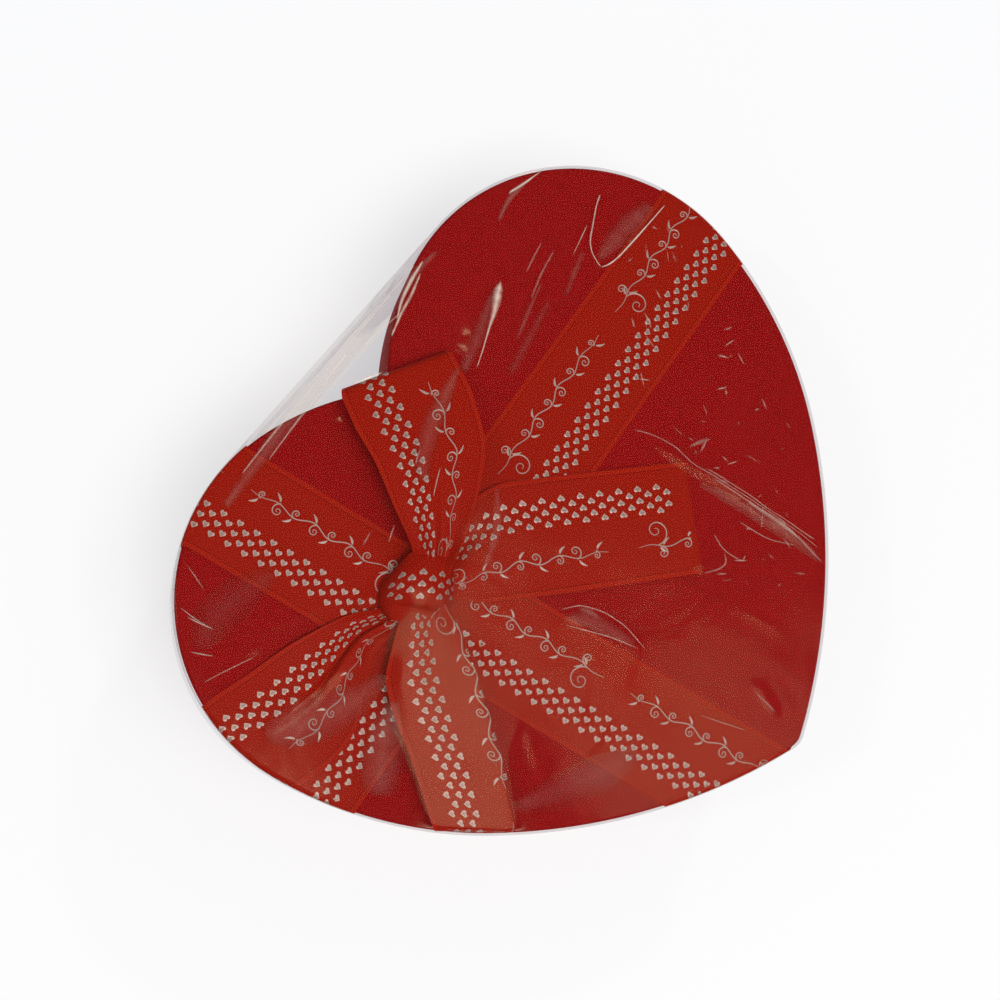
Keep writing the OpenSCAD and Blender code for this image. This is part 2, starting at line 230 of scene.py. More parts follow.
# The floats' stretched noise sets the bump and roughness, and also streaks the colour as painted
# sheen.
laid = add(tree, "Mapping", {"Vector": place, "Scale": (0.05, 0.9, 1)})
floats_and_sheen = add(tree, "TexNoise", {"Vector": laid, "Scale": 1.0, "Detail": 4.0})
cloud = add(tree, "TexNoise", {"Vector": place, "Scale": 0.09, "Detail": 2.0})
body = add(
    tree, "Mix", {0: floats_and_sheen, 6: colour("#8e1206"), 7: colour("#9b1808")}, data_type="RGBA"
)
tone = add(tree, "Mix", {0: cloud, 6: body.outputs[2], 7: colour("#941508")}, data_type="RGBA")
# Painted shade: the groove along each selvedge is coloured darker, as if in shadow.
groove_shade = add(tree, "Math", {0: groove, 1: 0.7}, operation="MULTIPLY")
bright = add(tree, "Math", {0: selvedge, 1: 0.4}, operation="MULTIPLY")
edge_red_and_groove_shade = add(
    tree, "Mix", {0: bright, 6: tone.outputs[2], 7: colour("#ab210f")}, data_type="RGBA"
)
edge_red_and_groove_shade = add(
    tree, "Mix", {0: groove_shade, 6: edge_red_and_groove_shade.outputs[2], 7: colour("#640803")}, data_type="RGBA"
)
height = add(tree, "Math", {0: ribs, 1: 0.2}, operation="MULTIPLY")
height = add(tree, "Math", {0: height, 1: dents}, operation="ADD")
height = add(tree, "Math", {0: height, 1: floats_and_sheen}, operation="ADD")
bump = add(tree, "Bump", {"Height": height, "Strength": 0.2, "Distance": 0.00005})
gloss = add(tree, "MapRange", {"Value": floats_and_sheen, "To Min": 0.36, "To Max": 0.48})
gloss = add(tree, "Math", {0: gloss, 1: plain}, operation="MAXIMUM")
shader = add(
    tree,
    "BsdfPrincipled",
    {
        "Base Color": edge_red_and_groove_shade.outputs[2],
        "Roughness": gloss,
        "Normal": bump,
        "Specular IOR Level": 0.02,
    },
)
add(tree, "OutputMaterial", {"Surface": shader})
print(satin.name, len(tree.nodes), "nodes")

# %% [markdown]
# ## Foil print
#
# The hearts and the scroll are stamped on the satin in a warm silver foil. The foil is thin and
# takes the ribs of the cloth, so it mirrors only in part. Its colour is set lighter at the rims
# and darker and browner in the middles.

# %% Foil
foil, tree = start("hot_stamped_silver_foil")
middle = add(tree, "Attribute", attribute_name="middle")
grain = add(tree, "TexCoord")
speck = add(tree, "TexNoise", {"Vector": grain.outputs["Object"], "Scale": 2500.0})
silver = add(
    tree,
    "Mix",
    {0: middle.outputs["Fac"], 6: colour("#b59c90"), 7: colour("#4f3831")},
    data_type="RGBA",
)
worn = add(
    tree,
    "Mix",
    {0: speck, 6: silver.outputs[2], 7: colour("#94786c")},
    data_type="RGBA",
)
shader = add(
    tree,
    "BsdfPrincipled",
    {"Base Color": worn.outputs[2], "Metallic": 0.3, "Roughness": 0.4},
)
add(tree, "OutputMaterial", {"Surface": shader})
print(foil.name)

# %% [markdown]
# ## Shrink film
#
# Polyolefin shrink film, about 0.02 mm thick and quite clear. What is seen of it is its gloss:
# a pale haze where it mirrors a lamp, and bright threads along its creases. So the shader lets
# light straight through and lays a mirror-like sheen over it that grows at grazing angles.
# Where the mesh's haze attribute is set, the sheen turns to a pale matt colour. On the creases
# that is partly the stretched film's own whitening and partly painted highlight, and on the wide
# veils it is painted haze.
# The index of 1.16 is below the plastic's own 1.5, because the photograph's glare is that weak.
# Face on it mirrors about half a percent. So small a share would be met by one sample in two
# hundred and leave bright dots, so the share is 4% there, of a sheen that is as much darker.

# %% Shrink film
FILM_IOR, MOST_MIRROR, LEAST_SHARE = 1.16, 0.25, 0.04
film, tree = start("clear_shrink_film")
coords = add(tree, "TexCoord")
facing = add(tree, "Fresnel", {"IOR": FILM_IOR})
facing = add(tree, "Math", {0: facing, 1: MOST_MIRROR}, operation="MINIMUM")
# The haze attribute: on creases partly real whitening and partly painted highlight, on veils
# painted haze.
whitening_and_highlight = add(tree, "Attribute", attribute_name="haze")
grain = add(tree, "TexNoise", {"Vector": coords.outputs["Object"], "Scale": 700.0, "Detail": 3.0})
grain = add(tree, "MapRange", {"Value": grain, "From Min": 0.3, "From Max": 0.75, "To Min": 0.7})
pale = add(tree, "Math", {0: whitening_and_highlight.outputs["Fac"], 1: grain}, operation="MULTIPLY")
seen = add(tree, "Math", {0: facing, 1: pale}, operation="MAXIMUM")
share = add(tree, "Math", {0: seen, 1: LEAST_SHARE}, operation="MAXIMUM")
dim = add(tree, "Math", {0: seen, 1: share}, operation="DIVIDE")
mirror = add(
    tree,
    "MapRange",
    {"Value": whitening_and_highlight.outputs["Fac"], "From Max": 0.015, "To Min": 1.0, "To Max": 0.0},
)
smear = add(tree, "TexNoise", {"Vector": coords.outputs["Object"], "Scale": 60.0, "Detail": 5.0})
gloss = add(tree, "MapRange", {"Value": smear, "To Min": 0.06, "To Max": 0.22})
ripple = add(
    tree, "TexNoise", {"Vector": coords.outputs["Object"], "Scale": 160.0, "Detail": 2.0}
)
swell = add(
    tree,
    "TexNoise",
    {"Vector": coords.outputs["Object"], "Scale": 45.0, "Detail": 3.0, "Distortion": 1.0},
)
height = add(tree, "Math", {0: swell, 1: 8.0, 2: ripple}, operation="MULTIPLY_ADD")
bump = add(tree, "Bump", {"Height": height, "Strength": 0.25, "Distance": 0.0002})
clear = add(tree, "BsdfTransparent", {"Color": colour("#fbfbfc")})
tone = add(
    tree, "Mix", {0: mirror, 6: colour("#f8e2d0"), 7: colour("#ffe5bb")}, data_type="RGBA"
)
tone = add(tree, "Mix", {0: dim, 6: colour("#000000"), 7: tone.outputs[2]}, data_type="RGBA")
sheen = add(
    tree,
    "BsdfPrincipled",
    {"Base Color": tone.outputs[2], "Metallic": mirror, "Roughness": gloss, "Normal": bump},
)
cover = add(tree, "MixShader", {0: share, 1: clear, 2: sheen})
add(tree, "OutputMaterial", {"Surface": cover})
print(film.name)

# %% [markdown]
# ## From arrays to meshes
#
# Every surface below is a grid of points worked out as whole arrays. Two helpers turn a grid
# into a mesh: one numbers the corners of its faces, the other makes the object with its UVs.

# %% Mesh helpers
def cells(rows, cols, loop_rows=False, loop_cols=False):
    """Corner numbers of a grid's faces, and the same corners counted on an unrolled grid that
    is one wider each way it closes, for UVs without a smeared seam."""
    i, j = np.mgrid[0 : rows - (not loop_rows), 0 : cols - (not loop_cols)]
    i = np.stack([i, i + 1, i + 1, i], -1).reshape(-1, 4)
    j = np.stack([j, j, j + 1, j + 1], -1).reshape(-1, 4)
    return (i % rows) * cols + j % cols, i * (cols + loop_cols) + j


def new_piece(name, points, faces, material, uvs=None, turn=35, closed=True):
    """A mesh object in metres from points in millimetres. uvs holds one (u, v) for each corner
    of each face. Edges sharper than turn degrees stay sharp."""
    mesh = bpy.data.meshes.new(name)
    mesh.from_pydata((points * MM).tolist(), [], [f.tolist() for f in faces])
    layer = mesh.uv_layers.new(name="mm")
    if uvs is None:
        corners = np.concatenate(faces)
        uvs = points[corners][:, :2]
    layer.data.foreach_set("uv", np.ascontiguousarray(uvs, dtype=np.float32).ravel())
    if closed:
        shell = bmesh.new()
        shell.from_mesh(mesh)
        bmesh.ops.recalc_face_normals(shell, faces=shell.faces)
        shell.to_mesh(mesh)
        shell.free()
    mesh.shade_smooth()
    mesh.set_sharp_from_angle(angle=np.radians(turn))
    mesh.materials.append(material)
    made = bpy.data.objects.new(name, mesh)
    scene.collection.objects.link(made)
    return made


def lengths(points):
    """Distance run along a list of points, from 0."""
    return np.concatenate([[0], np.cumsum(np.linalg.norm(np.diff(points, axis=0), axis=1))])


# %% [markdown]
# ## The heart's outline
#
# The lid's outline is four arcs on each side, which meet without a kink: from the cleft an inner
# arc, the lobe's shoulder, the flank, and a long arc into the point. Moving an arc inwards only
# changes its radius, so one function gives the outline at any depth, with the same number of
# points each time. Card and paper never fold quite sharp, so the cleft and the point are eased.

# %% Heart outline
RADII = np.array([0.3811, 0.2726, 0.5793, 0.872]) * LID_W
TURNS = np.radians([105.5, -9.0, -39.0])
STEPS = (30, 90, 50, 76)
SHOULDER = np.array([LID_W / 2 - RADII[1], 25.711])


def ray(angle):
    """Unit vector at an angle in radians."""
    return np.stack([np.cos(angle), np.sin(angle)], -1)


CENTRES = np.array(
    [
        SHOULDER - (RADII[0] - RADII[1]) * ray(TURNS[0]),
        SHOULDER,
        SHOULDER - (RADII[2] - RADII[1]) * ray(TURNS[1]),
        SHOULDER - (RADII[2] - RADII[1]) * ray(TURNS[1]) - (RADII[3] - RADII[2]) * ray(TURNS[2]),
    ]
)


def outline(inset, passes=3, bridge=False):
    """The heart drawn in by inset, clockwise from the cleft: each arc is its centre plus its
    radius less the inset. With bridge, a straight line joins the lobes, as stretched film
    does. Each pass replaces a point by a quarter of both neighbours and half of itself."""
    r = RADII - inset
    cleft = np.arccos(-min(1.0, CENTRES[0, 0] / r[0]))
    point = -np.arccos(-CENTRES[3, 0] / r[3])
    bounds = [cleft, *TURNS, point]
    half = [
        CENTRES[k] + r[k] * ray(np.linspace(bounds[k], bounds[k + 1], STEPS[k], endpoint=False))
        for k in range(4)
    ]
    half = np.vstack(half + [CENTRES[3] + r[3] * ray(np.array([point]))])
    loop = np.vstack([half, half[-2:0:-1] * [-1, 1]])
    if bridge:
        between = (np.abs(loop[:, 0]) < SHOULDER[0]) & (loop[:, 1] > SHOULDER[1])
        loop[between, 1] = SHOULDER[1] + r[1]
    for _ in range(passes):
        loop = (np.roll(loop, 1, 0) + 2 * loop + np.roll(loop, -1, 0)) / 4
    return loop


rim = outline(0)
print("outline", len(rim), "points,", lengths(rim)[-1].round(1), "mm round")

# %% [markdown]
# ## Walls of board and paper
#
# A wall is a small closed profile carried round the heart. The profile's points are (depth in
# from the lid's outside, height), and its corners are rounded as paper drawn over board is.

# %% Carry a profile round the heart
def rounded(corners, radius, steps=4):
    """A polygon with its corners eased: each becomes the curve (1-t)^2 A + 2t(1-t) C + t^2 B
    between points A and B, at most radius from the corner C along its two sides."""
    c = np.array(corners, float)
    before, after = np.roll(c, 1, 0) - c, np.roll(c, -1, 0) - c
    sides = np.linalg.norm(before, axis=1), np.linalg.norm(after, axis=1)
    cut = np.minimum(radius, 0.48 * np.minimum(*sides))[:, None]
    a, b = c + before / sides[0][:, None] * cut, c + after / sides[1][:, None] * cut
    t = np.linspace(0, 1, steps)[None, :, None]
    eased = (1 - t) ** 2 * a[:, None] + 2 * t * (1 - t) * c[:, None] + t**2 * b[:, None]
    return eased.reshape(-1, 2)


def wall(name, profile, material):
    """Row k of the grid is the outline drawn in by the profile's depth k, at its height k."""
    depth, height = profile.T
    rows = np.stack([outline(d) for d in depth])
    points = np.dstack([rows, np.broadcast_to(height[:, None], rows.shape[:2])])
    faces, corners = cells(*rows.shape[:2], loop_rows=True, loop_cols=True)
    run = lengths(np.vstack([rim, rim[:1]]))
    up = lengths(np.vstack([profile, profile[:1]]))
    u, v = np.meshgrid(run, up)
    uvs = np.stack([u.ravel(), v.ravel()], -1)[corners.ravel()]
    return new_piece(name, points.reshape(-1, 3), faces, material, uvs)


def plate(name, inset, low, high, material, ease=0.12):
    """A heart-shaped plate from low to high: rings shrink towards a middle point below, and
    open out again above."""
    shares = [0.2, 0.5, 0.8, 1, 1, 1, 1, 0.8, 0.5, 0.2]
    depths = [inset + ease] * 4 + [inset, inset] + [inset + ease] * 4
    heights = [low] * 4 + [low + ease, high - ease] + [high] * 4
    rows = np.stack([s * outline(d) for s, d in zip(shares, depths)])
    points = np.dstack([rows, np.broadcast_to(np.array(heights)[:, None], rows.shape[:2])])
    faces, _ = cells(*rows.shape[:2], loop_cols=True)
    n, flat = rows.shape[1], points.reshape(-1, 3)
    poles = np.array([[0, 0, low], [0, 0, high]], float)
    ring = np.arange(n)
    last = (len(shares) - 1) * n + ring
    fans = [
        np.stack([np.full(n, len(flat)), ring, np.roll(ring, -1)], -1),
        np.stack([np.full(n, len(flat) + 1), np.roll(last, -1), last], -1),
    ]
    return new_piece(name, np.vstack([flat, poles]), [*faces, *fans[0], *fans[1]], material)


# %% [markdown]
# ## Layers of the box
#
# The box is a stack of layers, and every wall and floor below is a pair of these numbers. They
# repeat the source's: paper 0.3 mm, board 1.5 mm, 0.9 mm of play between lid and base.

# %% Layers
PAPER, BOARD, PLAY, TURN_IN = 0.3, 1.5, 0.9, 12.0
LID_BOARD = PAPER  # depths in from the lid's outside
LID_LINING = LID_BOARD + BOARD
LID_INSIDE = LID_LINING + PAPER
BASE_PAPER = LID_INSIDE + PLAY
BASE_BOARD = BASE_PAPER + PAPER
BASE_LINING = BASE_BOARD + BOARD
BASE_INSIDE = BASE_LINING + PAPER
UNDER_Z = 0.3  # heights above the table
WRAP_Z = UNDER_Z + PAPER
FLOOR_Z = WRAP_Z + PAPER
FLOOR_TOP = FLOOR_Z + BOARD
LID_RIM, BASE_RIM, BOX_H = 28.0, 47.3, 50.0
TOP_PAPER = BOX_H - PAPER
TOP_BOARD = TOP_PAPER - PAPER
TOP_LINING = TOP_BOARD - BOARD
print("the base stands", round(BASE_PAPER, 2), "mm inside the lid's outside")

# %% [markdown]
# ## Base and lid
#
# Each is built as a box maker does it: board, then paper round the side, turned in over both
# edges, then a sheet over the top or under the floor, and linings inside.

# %% Base and lid pieces
def upright(outer, inner, low, high):
    """Corners of a straight wall's profile."""
    return [(outer, low), (outer, high), (inner, high), (inner, low)]


base_wrap = (
    [(BASE_PAPER, WRAP_Z), (BASE_PAPER, BASE_RIM), (BASE_INSIDE, BASE_RIM)]
    + [(BASE_INSIDE, BASE_RIM - TURN_IN), (BASE_LINING, BASE_RIM - TURN_IN)]
    + [(BASE_LINING, BASE_RIM - PAPER), (BASE_BOARD, BASE_RIM - PAPER), (BASE_BOARD, FLOOR_Z)]
    + [(BASE_LINING + TURN_IN, FLOOR_Z), (BASE_LINING + TURN_IN, WRAP_Z)]
)
lid_wrap = (
    [(0, LID_RIM), (0, TOP_PAPER), (LID_LINING + TURN_IN, TOP_PAPER)]
    + [(LID_LINING + TURN_IN, TOP_BOARD), (LID_BOARD, TOP_BOARD), (LID_BOARD, LID_RIM + PAPER)]
    + [(LID_LINING, LID_RIM + PAPER), (LID_LINING, LID_RIM + TURN_IN)]
    + [(LID_INSIDE, LID_RIM + TURN_IN), (LID_INSIDE, LID_RIM)]
)
pieces = {
    "base_wall_board": wall(
        "base_board_wall",
        rounded(upright(BASE_BOARD, BASE_LINING, FLOOR_Z, BASE_RIM - PAPER), 0.3),
        grey_board,
    ),
    "base_wall_wrap": wall("base_paper_side", rounded(base_wrap, 0.55), linen_paper),
    "base_wall_lining": wall(
        "base_lining_side",
        rounded(upright(BASE_LINING, BASE_INSIDE, FLOOR_TOP, BASE_RIM - TURN_IN), 0.05),
        lining_paper,
    ),
    "base_floor_board": plate("base_board_floor", BASE_LINING, FLOOR_Z, FLOOR_TOP, grey_board),
    "base_underside_sheet": plate(
        "base_paper_underside", BASE_PAPER + 1.5, UNDER_Z, WRAP_Z, linen_paper
    ),
    "base_floor_lining": plate(
        "base_lining_floor", BASE_INSIDE, FLOOR_TOP, FLOOR_TOP + PAPER, lining_paper
    ),
    "lid_wall_board": wall(
        "lid_board_wall",
        rounded(upright(LID_BOARD, LID_LINING, LID_RIM + PAPER, TOP_BOARD), 0.4),
        grey_board,
    ),
    "lid_wall_wrap": wall("lid_paper_side", rounded(lid_wrap, 0.6), linen_paper),
    "lid_wall_lining": wall(
        "lid_lining_side",
        rounded(upright(LID_LINING, LID_INSIDE, LID_RIM + TURN_IN, TOP_LINING), 0.05),
        lining_paper,
    ),
    "lid_top_board": plate("lid_board_top", LID_LINING, TOP_LINING, TOP_BOARD, grey_board),
    "lid_top_sheet": plate("lid_paper_top", 0.45, TOP_PAPER, BOX_H, linen_paper, ease=0.14),
    "lid_top_lining": plate(
        "lid_lining_top", LID_INSIDE, TOP_LINING - PAPER, TOP_LINING, lining_paper
    ),
}
for node_name, piece in pieces.items():
    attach(piece, node_name.split("_")[0])
    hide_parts(node_name)
print(len(pieces), "pieces of board and paper")

# %% [markdown]
# ## Ribbon as a surface
#
# A length of ribbon is a function that gives a point for each (u, v), u millimetres along it and
# v across it from its right selvedge. The mesh is that surface, moved out half the ribbon's
# thickness to both sides and closed round its edges. The foil uses the same function, so each
# printed heart bends with the satin. The printed face is the one the normal points to.

# %% Ribbon helpers
SELVEDGES = [0.012, 0.045, 0.955, 0.988]
TAIL_FOLD = [0.44, 0.465, 0.475, 0.485, 0.495, 0.505, 0.515, 0.54]
SPAN = np.unique(np.concatenate([np.linspace(0, 1, 25), SELVEDGES, TAIL_FOLD])) * RIBBON_W
KNOT = np.array([-30.176, 19.68])
covered = []  # points of all ribbon surfaces, which the film will lie over


def normals(surface, u, v):
    """Unit normals from small steps along and across: du x dv."""
    h = 0.05
    du = surface(u + h, v) - surface(u - h, v)
    dv = surface(u, v + h) - surface(u, v - h)
    n = np.cross(du, dv)
    return n / np.maximum(np.linalg.norm(n, axis=-1, keepdims=True), 1e-9)


def ribbon(name, node_name, surface, u, length):
    """Closed ribbon from its middle surface: for each u a ring of points, across on the printed
    side and back on the other, and a cap at both ends. u is a grid or one list of places."""
    v = np.broadcast_to(SPAN, (len(u), len(SPAN)))
    u = np.broadcast_to(u if u.ndim == 2 else u[:, None], v.shape)
    middle, side = surface(u, v), normals(surface, u, v) * RIBBON_T / 2
    rings = np.concatenate([middle + side, (middle - side)[:, ::-1]], 1)
    rows, cols = rings.shape[:2]
    faces, _ = cells(rows, cols, loop_cols=True)
    j = np.arange(len(SPAN) - 1)
    cap = np.stack([j, j + 1, cols - 2 - j, cols - 1 - j], -1)
    faces = np.vstack([faces, cap, cap[:, ::-1] + (rows - 1) * cols])
    flat = np.stack(
        [np.concatenate([u, u[:, ::-1]], 1), np.concatenate([v, v[:, ::-1] + PLAIN_V], 1)], -1
    )
    made = new_piece(
        name, rings.reshape(-1, 3), faces, satin, flat.reshape(-1, 2)[faces.ravel()], turn=60
    )
    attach(made, "lid")
    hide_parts(node_name)
    covered.append(rings.reshape(-1, 3))
    return made


def smooth(x):
    """0 below 0, 1 above 1, and 3x^2 - 2x^3 between."""
    x = np.clip(x, 0, 1)
    return x * x * (3 - 2 * x)


# %% [markdown]
# ## The foil print
#
# Five rows of little hearts run along one side of the ribbon. Hearts stand 4.2 mm apart in their
# row, rows 1.32 mm apart, every second row moved on by half a step. A stamp like this is cheapest
# as one small outline that is repeated. Each heart is a low cap of 14 rim points:
# x = 16 sin^3 a, y = 13 cos a - 5 cos 2a - 2 cos 3a - cos 4a.

# %% The heart and its places
HEART_ANGLES = np.linspace(0, 2 * np.pi, 14, endpoint=False)
HEART = np.stack(
    [
        16 * np.sin(HEART_ANGLES) ** 3,
        13 * np.cos(HEART_ANGLES)
        - 5 * np.cos(2 * HEART_ANGLES)
        - 2 * np.cos(3 * HEART_ANGLES)
        - np.cos(4 * HEART_ANGLES)
        + 2.5,
    ],
    -1,
)
HEART *= 1.66 / 32
FOIL_H = 0.05
BAND_IN, ROW, STEP, REPEAT = 7.5, 1.32, 4.2, 48.0
SIDES = np.array([-1, 0, 1])[None, :, None]  # left edge, middle and right edge of a line


def heart_field(first, last, toward):
    """Places of the hearts on a ribbon from first to last: (u, v) of each, tips toward the near
    selvedge. toward is 1 when their selvedge is at v = RIBBON_W, or -1."""
    row = np.arange(-2, 3)
    n = int((last - first) / STEP)
    u = first + STEP * (np.arange(n)[:, None] + 0.5 * (row[None, :] % 2) + 0.25)
    v = RIBBON_W / 2 + toward * (RIBBON_W / 2 - BAND_IN + ROW * row)
    return u.ravel(), np.broadcast_to(v, u.shape).ravel()


print("a heart is", np.ptp(HEART, axis=0).round(2), "mm")

# %% [markdown]
# ## The scroll
#
# Along the ribbon's other side runs a line of ornament. Here it is a plain scroll, once every
# 48 mm: a waving stem, and curls and leaves that leave it to both sides.

# %% Scroll lines
def scroll_lines(toward):
    """Lines of one repeat of the scroll as (u, v, width) arrays. The stem is a sine wave with
    fading ends. A curl leaves it as a spiral whose radius shrinks by exp(-0.2 angle), and a
    leaf is a short arc that swells in its middle."""
    t = np.linspace(0, 1, 110)
    swell = np.sin(np.pi * t) ** 0.5
    wave = 0.75 * np.sin(2 * np.pi * 41 * t / 9.2)
    lines = [(2 + 41 * t, wave * swell, 0.1 + 0.16 * swell)]
    turn = np.linspace(0, 3.1 * np.pi, 44)
    leaf = np.linspace(0, 1, 9)
    curls = [(6.6, 3.3, 1), (7.4, 1.5, -1), (13.4, 1.3, -1), (17.2, 1.6, 1), (22.4, 1.2, -1)]
    curls += [(26.4, 1.5, 1), (31.6, 1.2, -1), (35.6, 1.7, 1), (40.2, 1.0, -1)]
    for at, size, side in curls:
        r = size * np.exp(-0.2 * turn)
        foot = 0.75 * np.sin(2 * np.pi * (at - 2) / 9.2)
        rise = foot + side * (size - r * np.cos(turn))
        lines.append((at + r * np.sin(turn), rise, 0.28 - 0.012 * turn))
        tip = foot - side * (0.3 + 1.5 * leaf)
        lines.append((at + 0.5 + 1.5 * leaf**2, tip, 0.1 + 0.42 * np.sin(np.pi * leaf)))
    v0 = RIBBON_W / 2 - toward * (RIBBON_W / 2 - BAND_IN)
    return [(u, v0 + toward * v, w) for u, v, w in lines]


print(len(scroll_lines(1)), "lines in one repeat of the scroll")

# %% [markdown]
# ## Foil on the cloth
#
# The print could be a picture on the cloth, but then it would have no edge to catch the light.
# So each of its points is asked of the ribbon's own surface, and lifted along its normal by half
# the cloth's thickness and the foil's own few hundredths of a millimetre.

# %% Stamp the foil
def print_foil(name, surface, spans, toward):
    """Hearts and scrolls on a ribbon. spans are the (first, last) lengths that carry print. A
    heart is its outline at full size, at 0.82 and at 0.4, and a middle point, each at its own
    height. A line of the scroll is a ridge three points wide."""
    points, ups, faces, middles = [], [], [], []
    h = np.concatenate([heart_field(*s, toward) for s in spans], 1)
    rings = [(1.0, 0.0), (0.82, FOIL_H), (0.4, FOIL_H * 0.6)]
    u = np.stack([h[0][:, None] + s * toward * HEART[:, 0] for s, _ in rings], 1)
    v = np.stack([h[1][:, None] - s * toward * HEART[:, 1] for s, _ in rings], 1)
    n, k = len(h[0]), len(HEART)
    u = np.concatenate([u.reshape(n, -1), h[0][:, None]], 1)
    v = np.concatenate([v.reshape(n, -1), h[1][:, None]], 1)
    rise = np.append(np.repeat([z for _, z in rings], k), FOIL_H * 0.5)[None, :, None]
    up = normals(surface, u, v)
    points.append((surface(u, v) + up * (rise + RIBBON_T / 2)).reshape(-1, 3))
    ups.append(up.reshape(-1, 3))
    middles.append(np.tile(np.append(np.repeat([0, 0, 1], k), 1), n))
    ring = np.arange(k)
    tip = np.full(k, 3 * k)
    cap = np.stack([2 * k + ring, 2 * k + (ring + 1) % k, tip, tip], -1)
    cell = np.vstack([cells(3, k, loop_cols=True)[0], cap])
    count = 3 * k + 1
    faces.append((cell[None] + (np.arange(n) * count)[:, None, None]).reshape(-1, 4))
    count = n * count
    for first, last in spans:
        for base in np.arange(np.floor(first / REPEAT), np.ceil(last / REPEAT)) * REPEAT:
            for lu, lv, lw in scroll_lines(toward):
                keep = (lu + base > first + 0.6) & (lu + base < last - 0.6)
                if keep.sum() < 3:
                    continue
                lu, lv, lw = lu[keep] + base, lv[keep], lw[keep]
                du, dv = np.gradient(lu), np.gradient(lv)
                size = np.hypot(du, dv)
                across = np.stack([-dv / size, du / size], -1)[:, None] * SIDES
                uv = np.stack([lu, lv], -1)[:, None] + across * lw[:, None, None] / 2
                rise = RIBBON_T / 2 + np.array([0.0, FOIL_H, 0.0])[None, :, None]
                u, v = uv[..., 0], uv[..., 1]
                up = normals(surface, u, v)
                points.append((surface(u, v) + up * rise).reshape(-1, 3))
                ups.append(up.reshape(-1, 3))
                middles.append(np.full(u.size, 0.3))
                cell, _ = cells(*u.shape)
                faces.append(cell + count)
                count += u.size
    points, faces = np.concatenate(points), np.concatenate(faces)
    a, b, c = (points[faces[:, j]] for j in (0, 1, 2))
    down = (np.cross(b - a, c - a) * np.concatenate(ups)[faces[:, 0]]).sum(1) < 0
    faces = [f[:3] if f[2] == f[3] else f for f in faces]
    faces = [f[::-1] if turned_over else f for f, turned_over in zip(faces, down)]
    made = new_piece(name, points, faces, foil, closed=False)
    made.data.attributes.new("middle", "FLOAT", "POINT").data.foreach_set(
        "value", np.concatenate(middles).astype(np.float32)
    )
    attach(made, "lid")
    print(name, n, "hearts,", len(faces), "faces")
    return made


print("foil", FOIL_H, "mm high")

# %% [markdown]
# ## The straps
#
# Each strap lies flat on the lid, bends over its edge, runs down the side, round the rim and a
# little way up inside, where it is glued. Seen as a flat strip it runs straight on over the bend,
# so where it meets the edge at a slant it also runs down the side at that slant.

# %% The lid's edge and side
EDGE = outline(1.0)
EDGE_RUN = lengths(np.vstack([EDGE, EDGE[:1]]))
steps_on = np.roll(EDGE, -1, 0) - np.roll(EDGE, 1, 0)
EDGE_TANGENT = steps_on / np.linalg.norm(steps_on, axis=1, keepdims=True)
EDGE_NORMAL = np.stack([-EDGE_TANGENT[:, 1], EDGE_TANGENT[:, 0]], -1)
STRAP_BEND, BEND_STEPS = 0.8, 9
GLUED_RUN = 11.2  # up inside the rim
lie = RIBBON_T / 2 + 0.03
rim_in = LID_INSIDE + lie
strap_side = rounded(
    [(1.0, LID_TOP + lie), (-lie, LID_TOP + lie), (-lie, LID_RIM - lie)]
    + [(rim_in, LID_RIM - lie), (rim_in, LID_RIM + 10)]
    + [(rim_in, LID_RIM + 90), (1.0, LID_RIM + 90)],
    STRAP_BEND,
    BEND_STEPS,
)
strap_side = np.vstack([[(1.0, LID_TOP + lie)], strap_side[BEND_STEPS : 5 * BEND_STEPS]])
side_run = lengths(strap_side)
SIDE_LENGTH = side_run[strap_side[:, 1].argmin()] + GLUED_RUN


def leave(origins, heading):
    """Where lines along heading from the origins leave the lid: how far along, how far round
    the outline, and how the heading splits into outward and round parts there."""
    to_edge = EDGE[None] - origins[:, None]
    aside = to_edge @ np.array([-heading[1], heading[0]])
    ahead = to_edge @ heading
    next_aside, next_ahead = np.roll(aside, -1, 1), np.roll(ahead, -1, 1)
    share = aside / np.where(aside == next_aside, 1, aside - next_aside)
    reach = np.where(aside * next_aside < 0, ahead + share * (next_ahead - ahead), -np.inf)
    at = reach.argmax(1)
    line = np.arange(len(origins))
    run = EDGE_RUN[at] + share[line, at] * (EDGE_RUN[at + 1] - EDGE_RUN[at])
    middle = at[len(at) // 2]
    return reach.max(1), run, EDGE_NORMAL[middle] @ heading, EDGE_TANGENT[middle] @ heading


print("a strap runs", round(float(SIDE_LENGTH), 1), "mm down, round and up the side")

# %% [markdown]
# ## A strap's surface
#
# On the lid a strap is a flat band. Past the edge each of its threads goes on at the same slant,
# so its place is found from how far it has come down the side and how far round it has moved.

# %% Strap surface
def around(table, at):
    """A table's row for each place round the lid's edge, between its rows by nearness."""
    x, y = (np.interp(at, EDGE_RUN[:-1], table[:, k], period=EDGE_RUN[-1]) for k in (0, 1))
    return np.stack([x, y], -1)


